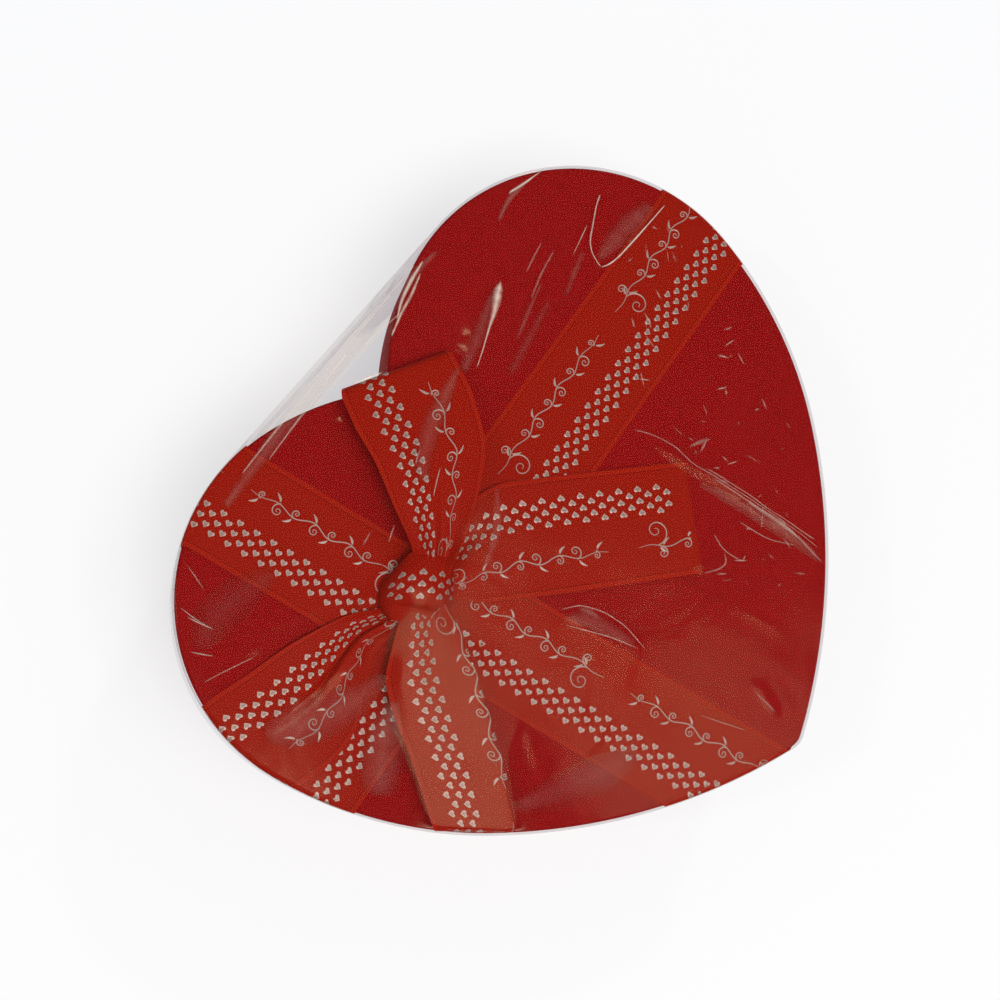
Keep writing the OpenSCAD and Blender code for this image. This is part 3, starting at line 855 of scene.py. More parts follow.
def strap(angle, middles, height):
    """Surface of a strap through the middles (one for each arm) at an angle in degrees. Between
    its two edge crossings a point is middle + u heading + v across, at the given height; past a
    crossing it follows the lid's side, out, down, round the rim and up."""
    heading = ray(np.radians(angle))
    across = np.array([-heading[1], heading[0]])
    v = np.linspace(-1, RIBBON_W + 1, 57)
    offsets = (v - RIBBON_W / 2)[:, None] * across
    far = leave(np.array(middles[1]) + offsets, heading)
    near = leave(np.array(middles[0]) + offsets, -heading)

    def surface(u, w):
        arm = smooth(0.5 + u / 12)[..., None]
        flat = (
            (1 - arm) * np.array(middles[0])
            + arm * np.array(middles[1])
            + u[..., None] * heading
            + (w - RIBBON_W / 2)[..., None] * across
        )
        out = np.concatenate([flat, (LID_TOP + height(flat, u, w))[..., None]], -1)
        for sign, (reach, run, outward, round_) in ((1, far), (-1, near)):
            past = sign * u - np.interp(w, v, reach)
            at = np.interp(w, v, run) + past * round_
            down = past * outward
            depth = np.interp(down, side_run, strap_side[:, 0])
            z = np.interp(down, side_run, strap_side[:, 1])
            plan = around(EDGE, at) + around(EDGE_NORMAL, at) * (1.0 - depth)[..., None]
            placed = np.concatenate([plan, z[..., None]], -1)
            out = np.where((past > 0)[..., None], placed, out)
        return out

    close = [(0.2, 2.6, 13), (4, 20, 9), (20.8, 25.4, 18), (26.5, SIDE_LENGTH, 6)]
    bends = np.concatenate([np.linspace(*part) for part in close])
    ends = [np.interp(SPAN, v, k[0])[None] + bends[:, None] / k[2] for k in (far, near)]
    reach = [np.interp(SPAN, v, k[0]) for k in (far, near)]
    k = np.linspace(0, 1, 190)[:, None]
    top = -reach[1] + k * (reach[0] + reach[1])
    return surface, np.vstack([-ends[1][::-1], top, ends[0]])


print("lid's edge", len(EDGE), "points")

# %% [markdown]
# ## Laying the two straps
#
# The cross strap lies below, at 4 degrees to the lid's width. The long one runs at 99.5 degrees
# through the knot and rises where it crosses the other. Satin is never quite flat, so slow waves
# go over both.

# %% Two straps
def wander(flat, phase):
    """Slow waves a tenth of a millimetre high, which satin keeps from the roll."""
    x, y = flat[..., 0], flat[..., 1]
    return 0.05 * (2 + np.sin(x / 8 + y / 13 + phase) + np.sin(y / 7 - x / 15 + 2 * phase))


CROSS_UP = 0.11 * LID_W
CROSS_WAY = ray(np.radians(94.0))


def over_cross(flat):
    """Rise of the long strap over the cross strap, eased over 1.8 mm at both of its edges."""
    aside = np.abs((flat - [0, CROSS_UP]) @ CROSS_WAY)
    return 0.42 * smooth((RIBBON_W / 2 + 1.9 - aside) / 1.8)


cross_strap, cross_u = strap(4.0, [(0, CROSS_UP)] * 2, lambda p, u, w: lie + wander(p, 1.0))
long_strap, long_u = strap(
    99.5,
    [KNOT - [0.65, 0], KNOT - [5.15, 0]],
    lambda p, u, w: lie + over_cross(p) + wander(p, 2.6),
)
for name, node_name, surface, u, toward in (
    ("ribbon_cross", "strap_cross", cross_strap, cross_u, -1),
    ("ribbon_long", "strap_long", long_strap, long_u, 1),
):
    run = float(u[-1].mean() - u[0].mean())
    ribbon(name, node_name, surface, u, run)
    print_foil(name + "_foil", surface, [(u[0].max(), u[-1].min())], toward)
    print(name, round(run, 1), "mm long")

# %% [markdown]
# ## The bow
#
# The third ribbon is tied round the crossing: two loops, two tails and a knot. Each is drawn in
# its own direction from the knot, with s along it and t to its left. A pair of rails, left and
# right edge, gives its plan, and a height goes with it. The cloth lies between the rails.

# %% Rails, and the surface between them
def rail(points):
    """A smooth curve through (s, t) points as a function of k from 0 to 1: straight chords by
    length, then averaged over a tenth of the way, with both ends kept."""
    p = np.array(points, float)
    k = lengths(p)
    fine = np.linspace(-0.1, 1.1, 241)
    line = np.stack([np.interp(fine, k / k[-1], p[:, c]) for c in (0, 1)], -1)
    line[fine < 0] = p[0] + (fine[fine < 0] * k[-1])[:, None] * (p[1] - p[0]) / k[1]
    last_way = (p[-1] - p[-2]) / (k[-1] - k[-2])
    line[fine > 1] = p[-1] + ((fine[fine > 1] - 1) * k[-1])[:, None] * last_way
    kernel = np.hanning(31) / np.hanning(31).sum()
    eased = np.stack([np.convolve(line[:, c], kernel, "same") for c in (0, 1)], -1)
    keep = (fine > -0.001) & (fine < 1.001)
    return lambda x: np.stack([np.interp(x, fine[keep], eased[keep, c]) for c in (0, 1)], -1)


def mix(a, b, k):
    """From a to b as k goes from 0 to 1."""
    return a + (b - a) * k


def placed(angle, s, t, z):
    """From a bow piece's own direction to its place on the lid."""
    along, left = ray(np.radians(angle)), ray(np.radians(angle + 90))
    plan = KNOT + s[..., None] * along + t[..., None] * left
    return np.concatenate([plan, (LID_TOP + z)[..., None]], -1)


def folded(share, at, depth=0.45):
    """Cross profile of a ribbon whose left edge is turned under past the share at: how far
    across each share lies, and how far under."""
    r = depth / 2 / RIBBON_W
    turn = np.pi * r
    past = np.clip((share - at) / turn, 0, 1) * np.pi
    beyond = np.maximum(share - at - turn, 0)
    across = np.where(share < at, share, at + r * np.sin(past) - beyond)
    under = np.where(share < at, 0, depth / 2 * (1 - np.cos(past)))
    return across, under


print("knot at", KNOT, "mm, middle of a rail of 10 mm at", rail([(0, 0), (10, 0)])(0.5).round(2))

# %% [markdown]
# ## A loop
#
# A loop is one length of ribbon that goes out, turns and comes back below itself. It could be
# two sheets and a half tube, but as one function of the length run it has no seams.

# %% Loop surface
def loop_surface(angle, left, right, top_z, low_z, pleat, turn_r, fold=None):
    """A loop from its root over the upper layer, round the turned end and back below. k runs
    from 0 at the knot to 1 at the turn. In plan a point lies between the rails at k. Its height
    is top + pleat above and low + 0.4 pleat below, and round the end it follows a half circle
    of radius turn_r between them. Returns the surface and its length."""
    left, right = rail(left), rail(right)
    run = np.linalg.norm((left(1.0) + right(1.0) - left(0.0) - right(0.0)) / 2)

    def surface(u, w):
        share = w / RIBBON_W
        across, under = (share, 0 * share) if fold is None else folded(share, fold)
        if fold is not None:
            across = across / fold
        past = np.clip((u - run) / turn_r, 0, np.pi)
        back = np.clip(u - run - np.pi * turn_r, 0, None)
        k = np.clip(np.minimum(u, run) - back, 0, run) / run
        below = smooth(past / np.pi)
        leftward = (0.5 + (across - 0.5) * (1 - 0.12 * below))[..., None]
        plan = (1 - leftward) * right(k) + leftward * left(k)
        s = plan[..., 0] + turn_r * np.sin(past) + (u < 0) * u
        top, low = top_z(k, across), low_z(k, across)
        z = (1 - below) * (top + pleat(k, across)) + below * (low + 0.4 * pleat(k, across))
        turning = (top + low) / 2 + turn_r * np.cos(past)
        z = np.where((u > run) & (past < np.pi), turning, z)
        z = z + np.where(past < np.pi / 2, -under, under)
        return placed(angle, s, plan[..., 1], z)

    return surface, 2 * run + np.pi * turn_r


left_share = folded(np.linspace(0, 1, 101), 0.72)[0].max()
print("ribbon turned under at 0.72 shows", left_share.round(2), "of its width")

# %% [markdown]
# ## A tail, and the lid's rim
#
# A tail is a flat length between its rails. The left one is longer than the lid, so what passes
# the edge is bent down along the same rounded side that the straps follow.

# %% Tail surface
LEFT_LOBE = SHOULDER * [-1, 1]


def over_rim(points, centre):
    """Points that pass the lid's edge, seen from a centre in plan, are bent down along its side,
    on the same rounded profile as the straps."""
    away = points[..., :2] - centre
    far = np.linalg.norm(away, axis=-1)
    edge = EDGE - centre
    way = np.arctan2(edge[:, 1], edge[:, 0])
    order = way.argsort()
    reach = np.interp(
        np.arctan2(away[..., 1], away[..., 0]),
        way[order],
        np.linalg.norm(edge, axis=1)[order],
        period=2 * np.pi,
    )
    down = far - reach
    depth, z = (np.interp(down, side_run, strap_side[:, j]) for j in (0, 1))
    plan = centre + away * ((reach + 1.0 - depth) / np.maximum(far, 1e-6))[..., None]
    drop = (z - strap_side[0, 1])[..., None]
    bent = np.concatenate([plan, points[..., 2:] + drop], -1)
    return np.where((down > 0)[..., None], bent, points)


def tail_surface(angle, left, right, height, pleat):
    """A tail from its root to its cut end: k runs from 0 to 1 along it, and the cloth lies
    between its rails at height + pleat above the lid, and bends over the rim."""
    left, right = rail(left), rail(right)
    run = np.linalg.norm((left(1.0) + right(1.0) - left(0.0) - right(0.0)) / 2)

    def surface(u, w):
        across, k = w / RIBBON_W, u / run
        on = np.clip(k, 0, 1)
        plan = (1 - across[..., None]) * right(on) + across[..., None] * left(on)
        s = plan[..., 0] + run * (k - on)
        flat = placed(angle, s, plan[..., 1], height(k, across) + pleat(k, across))
        return over_rim(flat, LEFT_LOBE)

    return surface, run


past_rim = np.array([[LEFT_LOBE[0] - RADII[1] - 3, LEFT_LOBE[1], LID_TOP + lie]])
print("3 mm past the left rim is bent to", over_rim(past_rim, LEFT_LOBE).round(1))

# %% [markdown]
# ## The two loops
#
# The upper loop stands open over the lid. The film has pressed the lower one flatter, and its
# left edge is turned under along its whole length. Pleats run out of the knot and fade.

# %% Loops
upper_loop, upper_length = loop_surface(
    52.0,
    [(1.5, 1.2), (4.5, 0.8), (9.8, 0.6), (19.4, 3.0), (29.7, 4.9), (37.7, 7.6), (45.2, 9.0)],
    [(1.5, -5.5), (4.6, -7.9), (15.8, -14.9), (25.1, -19), (30.4, -20.4), (42.3, -19.7)]
    + [(49.8, -17.6)],
    lambda k, a: mix(5.0, 5.5, smooth(k / 0.3)) + 1.6 * np.sin(np.pi * k),
    lambda k, a: mix(4.2, 1.3, smooth(k / 0.5)),
    lambda k, a: (1 - k) ** 2 * smooth(k / 0.12) * 1.5 * np.cos(2 * np.pi * (1.6 * a + 0.1))
    - 1.6 * np.exp(-(((a - 0.46) / 0.06) ** 2)) * (1 - k) ** 3 * smooth(k / 0.1),
    2.1,
)
lower_loop, lower_length = loop_surface(
    234.0,
    [(1.5, 3.0), (7.3, 4.7), (17.7, 6.1), (28.7, 6.9), (42.7, 7.5), (54.9, 7.2)],
    [(1.5, -4.5), (6.1, -7.4), (16.6, -13.2), (25.7, -13.1), (33.2, -11.8), (49.7, -10.5)],
    lambda k, a: mix(4.9, 4.1, smooth(k / 0.8)) + 1.3 * np.sin(np.pi * k),
    lambda k, a: mix(4.0, 1.3, smooth(k / 0.5)),
    lambda k, a: (1 - k) ** 2 * smooth(k / 0.12) * 1.3 * np.cos(2 * np.pi * (1.5 * a + 0.55)),
    1.4,
    fold=0.72,
)
for name, node_name, surface, length, toward in (
    ("loop_upper", "bow_upper_loop", upper_loop, upper_length, 1),
    ("loop_lower", "bow_lower_loop", lower_loop, lower_length, -1),
):
    u = np.linspace(0, length, int(length / 0.7))
    ribbon(name, node_name, surface, u, length)
    print_foil(name + "_foil", surface, [(1.0, length - 1.0)], toward)
    print(name, round(float(length), 1), "mm of ribbon")

# %% [markdown]
# ## The two tails
#
# The right tail is cut square and lies over the cross strap. The left one comes out of the knot
# pressed together, opens, and its end bends over the lid's rim. A narrow fold runs down its
# middle, along the last columns of points that SPAN adds.

# %% Tails
right_tail, right_length = tail_surface(
    -42.4,
    [(2.0, 4.5), (5.5, 9.0), (9.3, 13.2), (14.0, 19.0), (20.0, 21.9), (35.0, 22.1), (65.1, 21.9)],
    [(2.0, -3.0), (7.1, -2.8), (12.6, -4.2), (26.4, -4.7), (65.4, -4.2)],
    lambda k, a: mix(2.4, 1.35, smooth(k / 0.25)) - 0.3 * smooth((k - 0.35) / 0.3),
    lambda k, a: (1 - np.clip(k, 0, 1)) ** 3 * 0.7 * np.cos(2 * np.pi * (1.7 * a + 0.3))
    + 0.12 * np.sin(7 * k + 3 * a)
    - 0.9 * np.exp(-(((a - 0.72) / 0.09) ** 2)) * smooth(k / 0.08) * smooth((0.4 - k) / 0.3),
)
left_tail, left_length = tail_surface(
    172.0,
    [(2, 1.5), (7.1, 2.6), (18, 3.4), (22, 6.4), (31.4, 13.2), (38.2, 14.6), (49.9, 13.2)]
    + [(57, 12.4)],
    [(2, -1.5), (8, -2.3), (15.2, -7), (21.2, -8.8), (29.8, -10.8), (40.8, -12), (48.2, -13.2)]
    + [(56.5, -13.6)],
    lambda k, a: mix(3.2, 1.35, smooth(k / 0.3)) - 1.0 * smooth((k - 0.45) / 0.35),
    lambda k, a: (1 - np.clip(k, 0, 1)) ** 2 * 1.0 * np.cos(2 * np.pi * (1.4 * a + 0.2))
    - 1.3
    * np.exp(-(((a - 0.49) / (0.022 + 0.02 * k)) ** 2))
    * smooth(k / 0.1)
    * smooth((0.74 - k) / 0.1),
)
for name, node_name, surface, length, toward in (
    ("tail_right", "bow_right_tail", right_tail, right_length, 1),
    ("tail_left", "bow_left_tail", left_tail, left_length, -1),
):
    u = np.linspace(0, length, int(length / 0.7))
    ribbon(name, node_name, surface, u, length)
    print_foil(name + "_foil", surface, [(1.0, length - 0.6)], toward)
    print(name, round(float(length), 1), "mm long")

# %% [markdown]
# ## The knot
#
# One turn of the ribbon goes over the crossing and is drawn tight into a round bulb. The side
# with the hearts shows; the other side is turned under. One crease runs over the smooth part.

# %% Knot
KNOT_WAY = 122.0
KNOT_RUN = 26.0


def knot_surface(u, w):
    """a is the angle over the knot, from -1.75 to 1.75. c runs across what is seen, from -1 at
    the hearts' selvedge to 1 at the fold. The plan is near a circle of 7.9 mm: s is 8 sin a,
    drawn in by up to 16% at both edges, and t is c times a half width that falls from 7.9
    towards both ends, and most at the pinched one. z is a dome of 7.2 cos a, lower by a third
    at the edges, with pleats and one step."""
    a = mix(-1.75, 1.75, u / KNOT_RUN)
    across, under = folded(w / RIBBON_W, 0.62, 0.6)
    c = 2 * across / 0.62 - 1
    rim = np.clip(np.abs(c), 0, 1)
    pinch = smooth(np.sin(a)) ** 2
    half = 7.9 * (1 - 0.3 * np.abs(np.sin(a)) ** 3 - 0.2 * pinch)
    step = smooth((c - 0.5 + 0.12 * np.sin(a)) / 0.14) * smooth((0.9 - a) / 0.8)
    pleats = 0.5 * pinch * np.cos(7 * c + 0.6) + 0.25 * np.cos(4 * c + 2 * a)
    s = 1.2 + (8.2 - under) * np.sin(a) * (1 - 0.16 * rim**3)
    t = -0.8 + half * c + 2.4 * pinch + 0.4 * np.sin(2 * a)
    rise = 7.2 * (1 - 0.36 * rim**2.4) - 1.1 * step + pleats - under
    return placed(KNOT_WAY, s, t, 1.0 + rise * np.maximum(np.cos(a), -0.1))


knot_u = np.linspace(0, KNOT_RUN, 60)
ribbon("knot", "bow_knot", knot_surface, knot_u, KNOT_RUN)
print_foil("knot_foil", knot_surface, [(3.4, KNOT_RUN - 3.0)], -1)

# %% [markdown]
# ## How the film lies
#
# Shrunk film is a stretched skin: between the things that push it up it takes the shape of a
# soap film, where each point is the mean of its neighbours. So a height for each cell of a fine
# grid is averaged with its neighbours again and again, and never let under the ribbon or the lid.

# %% Relax the film
CELL = 0.8
FILM_Z = LID_TOP + 0.85
EDGE_IN, SIDE_OUT, BEND_R = 0.6, 0.55, 1.4  # of the film's flat top, its side, and between them
film_edge = outline(EDGE_IN, bridge=True)
grid_x = np.arange(-86, 86 + CELL, CELL)
grid_y = np.arange(-76, 76 + CELL, CELL)
gx, gy = np.meshgrid(grid_x, grid_y, indexing="ij")


def inside(loop):
    """Grid cells inside a loop round the origin: nearer than the loop in their direction."""
    way = np.arctan2(loop[:, 1], loop[:, 0])
    order = way.argsort()
    far = np.interp(
        np.arctan2(gy, gx), way[order], np.linalg.norm(loop, axis=1)[order], period=2 * np.pi
    )
    return np.hypot(gx, gy) < far


def spread_max(field):
    """Each cell takes the highest of itself and its neighbours."""
    for axis in (0, 1):
        field = np.maximum.reduce([field, np.roll(field, 1, axis), np.roll(field, -1, axis)])
    return field


floor_h = np.full(gx.shape, -1e3)
floor_h[inside(outline(0))] = LID_TOP
cloud_pts = np.concatenate(covered)
ix = np.rint((cloud_pts[:, 0] - grid_x[0]) / CELL).astype(int)
iy = np.rint((cloud_pts[:, 1] - grid_y[0]) / CELL).astype(int)
np.maximum.at(floor_h, (ix, iy), cloud_pts[:, 2])
floor_h = spread_max(floor_h) + 0.15
free = inside(film_edge)
field = np.where(free, np.maximum(floor_h, FILM_Z), FILM_Z)
for _ in range(4000):
    mean = (
        np.roll(field, 1, 0) + np.roll(field, -1, 0) + np.roll(field, 1, 1) + np.roll(field, -1, 1)
    ) / 4
    field = np.where(free, np.maximum(mean, floor_h), FILM_Z)
print("film over the bow reaches", field.max().round(2), "mm")


def film_height(x, y):
    """The relaxed height between cells, weighted by nearness."""
    fx, fy = (x - grid_x[0]) / CELL, (y - grid_y[0]) / CELL
    i, j = np.floor(fx).astype(int), np.floor(fy).astype(int)
    a, b = fx - i, fy - j
    return (
        field[i, j] * (1 - a) * (1 - b)
        + field[i + 1, j] * a * (1 - b)
        + field[i, j + 1] * (1 - a) * b
        + field[i + 1, j + 1] * a * b
    )


# %% [markdown]
# ## Tents and creases in the film
#
# Film never shrinks evenly. Where it is pulled over an edge it stands up in long low tents, and
# thin creases run along them. A tent is a ridge in the film's height: it falls off as
# exp(-(d / w)^2) away from its line and fades at both ends. A crease is a strip of its own on
# the film, five points wide, raised in the middle and whitened there, partly as stretched film
# whitens and partly as a painted highlight. The widest and palest rows are veils, a painted haze
# where the film mirrors light. Their places follow the photograph, so each row holds how white,
# how high, and (x, y, width) along its line.

# %% Tents and creases
TENTS = [
    (36.5, 51.5, 13, 42, 1.3, 0.9),
    (55, 36, 80, 35, 1.6, 0.5),
    (69, 47.5, 54.5, 36.5, 1.2, 0.4),
    (30, 8, 39.5, -46, 1.5, 0.5),
    (33.5, -8, 38.5, -50, 0.8, 0.35),
    (-13.5, -7, -7.5, -28, 1.6, 0.5),
    (14, -25, 24, -29, 1.4, 0.3),
    (-74, 47, -62, 38, 1, 0.25),
    (-68, 57, -65, 49, 0.7, 0.3),
    (4, -52, 1, -63, 1.2, 0.4),
    (-53, 22, -77, 26.5, 1.2, 0.4),
    (44, 24, 76, 18, 3, 0.3),
]
CREASES = [
    (0.75, 0.3, [(36.1, 51.4, 0.5), (34.2, 50.7, 2.2), (31.8, 49.3, 2.5), (29.1, 47.9, 1.6),
     (25, 46.4, 0.7), (20.5, 44.5, 0.45), (15.8, 42.7, 0.3)]),
    (0.06, 0.1, [(35, 51.6, 0.6), (30.4, 50.2, 2.2), (25.1, 48.2, 3.2), (19.9, 46.4, 3.4),
     (13, 44.4, 2.2)]),
    (0.63, 0.2, [(68.8, 47.2, 0.6), (66.2, 46.4, 0.4), (61.2, 43.6, 0.5), (58.1, 42, 0.5),
     (56, 39.6, 0.4), (55, 36.1, 0.4)]),
    (0.77, 0.2, [(55, 36.1, 0.4), (56.2, 35.1, 0.5), (59.8, 34.4, 0.55), (65.9, 34.2, 0.6),
     (71.9, 34.1, 0.5), (77.7, 34, 0.3)]),
    (0.06, 0.1, [(56, 37.6, 2), (61, 37.6, 5), (68, 37.4, 6.4), (75, 36.4, 4)]),
    (0.5, 0.15, [(60.9, 44.9, 0.3), (57, 43.9, 0.35), (52.7, 42.8, 0.25)]),
    (0.05, 0.1, [(55, 41.5, 1.2), (50, 40, 1.8), (44, 38, 1)]),
    (0.72, 0.2, [(57.6, 65.4, 0.5), (61.5, 63, 0.7), (64.7, 61, 0.5)]),
    (0.77, 0.2, [(54, 63.5, 0.8), (58.6, 62.2, 0.9), (61, 61.8, 0.5), (63.5, 61.2, 0.3)]),
    (0.1, 0.1, [(47, 61, 0.8), (53, 62.6, 1.6), (58, 62.2, 1.2)]),
    (0.23, 0.15, [(41.8, 48.4, 0.4), (46, 49.4, 0.6), (50.1, 50.3, 0.4)]),
    (0.18, 0.15, [(37.8, 43.6, 0.5), (44, 45.6, 0.7), (50.3, 46.8, 0.5)]),
    (0.06, 0.1, [(28, 40, 1), (36, 42.5, 1.4), (42, 44, 0.8)]),
    (0.81, 0.2, [(13, 63.4, 0.4), (17.4, 65.6, 1), (22.6, 67, 1.2), (28, 67.9, 0.6)]),
    (0.68, 0.2, [(9, 61.8, 0.5), (15.3, 63.8, 0.9), (19.5, 64.6, 1), (25.2, 66.4, 0.5)]),
    (0.45, 0.2, [(-36, 66.6, 0.5), (-22, 67.4, 0.8), (-6, 67.8, 0.7), (10, 68.2, 0.9),
     (26, 68.8, 0.5)]),
    (0.72, 0.2, [(-11, 66.2, 0.4), (-5, 66.6, 0.9), (0, 66.8, 0.5)]),
    (0.41, 0.2, [(-30, 64.2, 0.4), (-18, 65.2, 0.7), (-4, 65.4, 0.5), (6, 65, 0.6),
     (16, 63.6, 0.4)]),
    (0.72, 0.2, [(-8.5, 67.3, 0.4), (-8.7, 65.7, 0.6), (-8.5, 63.6, 0.3)]),
    (0.07, 0.1, [(-44, 64.6, 2), (-24, 66.4, 4), (0, 67.2, 4.5), (22, 67.6, 3), (32, 67, 1)]),
    (0.24, 0.2, [(30.1, 6, 0.3), (31.6, 3.2, 0.5), (32.9, -0.4, 0.45), (33.8, -4.7, 0.5),
     (33.2, -9.4, 0.5), (34.4, -14.7, 0.6), (35.1, -19.5, 0.5), (36.2, -25.8, 0.5),
     (37.1, -32.9, 0.45), (38, -40.1, 0.4), (38.3, -45.6, 0.3)]),
    (0.28, 0.2, [(34.7, -12.9, 0.4), (35.5, -16.3, 0.5), (36.1, -20.6, 0.5), (37, -25.2, 0.5),
     (37.2, -29.8, 0.4), (38.2, -35.3, 0.4), (38.7, -40.2, 0.5), (39.3, -43.8, 0.4)]),
    (0.25, 0.2, [(34, -15.7, 0.4), (34.9, -22.1, 0.5), (36, -29.1, 0.5), (37.1, -36.1, 0.5),
     (36.8, -42.7, 0.8), (36.2, -48.5, 0.5)]),
    (0.3, 0.2, [(35.2, -25.5, 0.3), (35.9, -30.5, 1), (36.5, -34.4, 1.3), (36.9, -40.3, 0.5)]),
    (0.25, 0.2, [(30.4, -27, 0.4), (31.1, -31.4, 0.5), (32, -35.4, 0.4), (35.1, -40.8, 0.4)]),
    (0.04, 0.1, [(31, -14, 1.5), (33.5, -24, 3), (35.5, -36, 3.2), (36.5, -47, 2)]),
    (0.4, 0.2, [(39.7, -14, 0.5), (39.6, -15.9, 0.4)]),
    (0.2, 0.1, [(36, -6.6, 0.5), (38.9, -8, 1.4), (41, -9.5, 0.6)]),
    (0.22, 0.2, [(15.4, -27.7, 0.4), (18.3, -30, 0.6), (20.8, -30.8, 0.6), (22.2, -28.5, 0.4)]),
    (0.27, 0.15, [(24, -24, 0.4), (22.5, -28, 0.5), (23.5, -33, 0.4)]),
    (0.36, 0.2, [(-13.4, -6.8, 0.3), (-9.6, -9.6, 0.45), (-7.2, -14.9, 0.45), (-6.4, -20.4, 0.4),
     (-7.4, -28, 0.3)]),
    (0.36, 0.2, [(-15.4, -9.8, 0.3), (-13.6, -13.5, 0.4), (-10.7, -19.6, 0.45),
     (-8.4, -26.3, 0.3)]),
    (0.05, 0.1, [(-14.2, -8.6, 1.2), (-11.6, -11.6, 4.2), (-9.6, -17.4, 4.2), (-8.2, -25, 1.6)]),
    (0.1, 0.1, [(-10.5, -9.6, 1), (-9.3, -12.4, 2), (-9, -15, 0.8)]),
    (0.32, 0.2, [(-10.5, -47.4, 0.3), (-8.7, -52.1, 0.5), (-6.3, -57.9, 0.3)]),
    (0.23, 0.2, [(1.9, -54.5, 0.4), (1.7, -58.6, 0.6), (1.5, -61, 0.5)]),
    (0.45, 0.2, [(-67.3, 55.1, 0.3), (-66.7, 52, 0.5), (-65.7, 49, 0.3)]),
    (0.32, 0.2, [(-66.7, 57.6, 0.3), (-66.6, 53.5, 0.5), (-66, 49.8, 0.3)]),
    (0.41, 0.2, [(-72.6, 49.7, 0.3), (-71.6, 47.8, 0.5), (-70.1, 45.2, 0.3)]),
    (0.32, 0.2, [(-58.9, 62.2, 0.3), (-59.7, 59.2, 0.45), (-60.6, 56.2, 0.3)]),
    (0.32, 0.2, [(-75.7, 43.2, 0.3), (-70.8, 41.2, 0.45), (-65, 38.6, 0.3)]),
    (0.03, 0.1, [(20, 36, 2), (30, 38, 2.6), (40, 40, 1.6)]),
    (0.05, 0.1, [(13, 45.8, 1.5), (5.3, 43.8, 4), (-0.5, 42.3, 5), (-5.5, 40.1, 5), (-10, 37.8, 4),
     (-11.9, 34.4, 2)]),
    (0.5, 0.15, [(-7.3, 34.5, 0.3), (-10.4, 33.1, 0.4), (-13.4, 31.5, 0.3)]),
    (0.4, 0.15, [(-6.8, 40.4, 0.3), (-9.2, 39.9, 0.4), (-10.5, 39, 0.3)]),
    (0.95, 0.2, [(-5.6, 61.2, 0.4), (-2.3, 59.6, 0.9), (0.9, 57.9, 0.4)]),
    (0.3, 0.15, [(-27.6, 32.4, 0.3), (-25.5, 33.3, 0.5), (-23.6, 34, 0.3)]),
    (0.05, 0.1, [(-2.5, 22, 1), (-6.5, 18, 2.6), (-12.5, 14.5, 2.2), (-19, 12.5, 0.8)]),
    (0.06, 0.1, [(-53, 9.5, 2.5), (-60, 6, 8), (-65.5, 2.2, 10), (-70.5, -1.5, 7)]),
    (0.05, 0.1, [(-50, 14.5, 2), (-59, 16, 8), (-67, 20, 11), (-73, 24, 8), (-76, 26, 4)]),
    (0.035, 0.1, [(-54, -26, 3), (-45, -32, 8), (-36, -37, 9), (-27, -41, 4)]),
    (0.022, 0.1, [(-48, 47, 3), (-56, 49.5, 9), (-64, 50.5, 10), (-71, 49, 4)]),
    (0.25, 0.15, [(-31.6, 36.3, 0.4), (-30, 36.6, 0.6), (-28, 37, 0.4)]),
]
print(len(TENTS), "tents and", len(CREASES), "creases")

# %% [markdown]
# ## Crumples
#
# Between the long creases the film is full of small crumples, most of them on the right of the
# lid. Nobody could tell one from another, so they are scattered at random from a fixed seed.
# Their whiteness is mostly painted glint.

# %% Scatter small crumples
rng = np.random.default_rng(14)
for _ in range(60):
    at = film_edge[rng.integers(90, 215)] * rng.uniform(0.5, 0.93)
    step = ray(rng.uniform(0, 2 * np.pi)) * rng.uniform(0.5, 1.8)
    # Whiteness of a crumple: painted glint, with some whitening of the film itself.
    white = rng.uniform(0.15, 0.45)
    line = [(*(at - step), 0.3), (*at, rng.uniform(0.3, 0.7)), (*(at + step), 0.3)]
    CREASES.append((white, 0.15, line))
for _ in range(14):
    at = film_edge[rng.integers(len(film_edge))] * rng.uniform(0.75, 0.97)
    way = np.arctan2(at[1], at[0]) + rng.normal(0, 0.5)
    far = at - rng.uniform(8, 20) * ray(way)
    TENTS.append((*at, *far, rng.uniform(0.8, 2.0), rng.uniform(0.05, 0.2)))
print(len(TENTS), "tents and", len(CREASES), "creases with the small ones")

# %% [markdown]
# ## Ridges and strips
#
# The two tables become shape here: the tents as one height over the whole film, and the creases
# as strips that lie on it.

# %% Height of the tents, strips of the creases
def tents(x, y):
    """Sum of the ridges, and slow waves 0.1 mm high that a loose film keeps."""
    total = 0.05 * (np.sin(x / 6.1 + 1.3 * np.sin(y / 11)) + np.sin(y / 7.7 + x / 19))
    for x0, y0, x1, y1, w, h in TENTS:
        along = np.array([x1 - x0, y1 - y0])
        size = np.linalg.norm(along)
        along = along / size
        s = ((x - x0) * along[0] + (y - y0) * along[1]) / size
        d = (x - x0) * -along[1] + (y - y0) * along[0]
        total += h * np.exp(-((d / w) ** 2)) * smooth(s / 0.3) * smooth((1 - s) / 0.3)
    return total


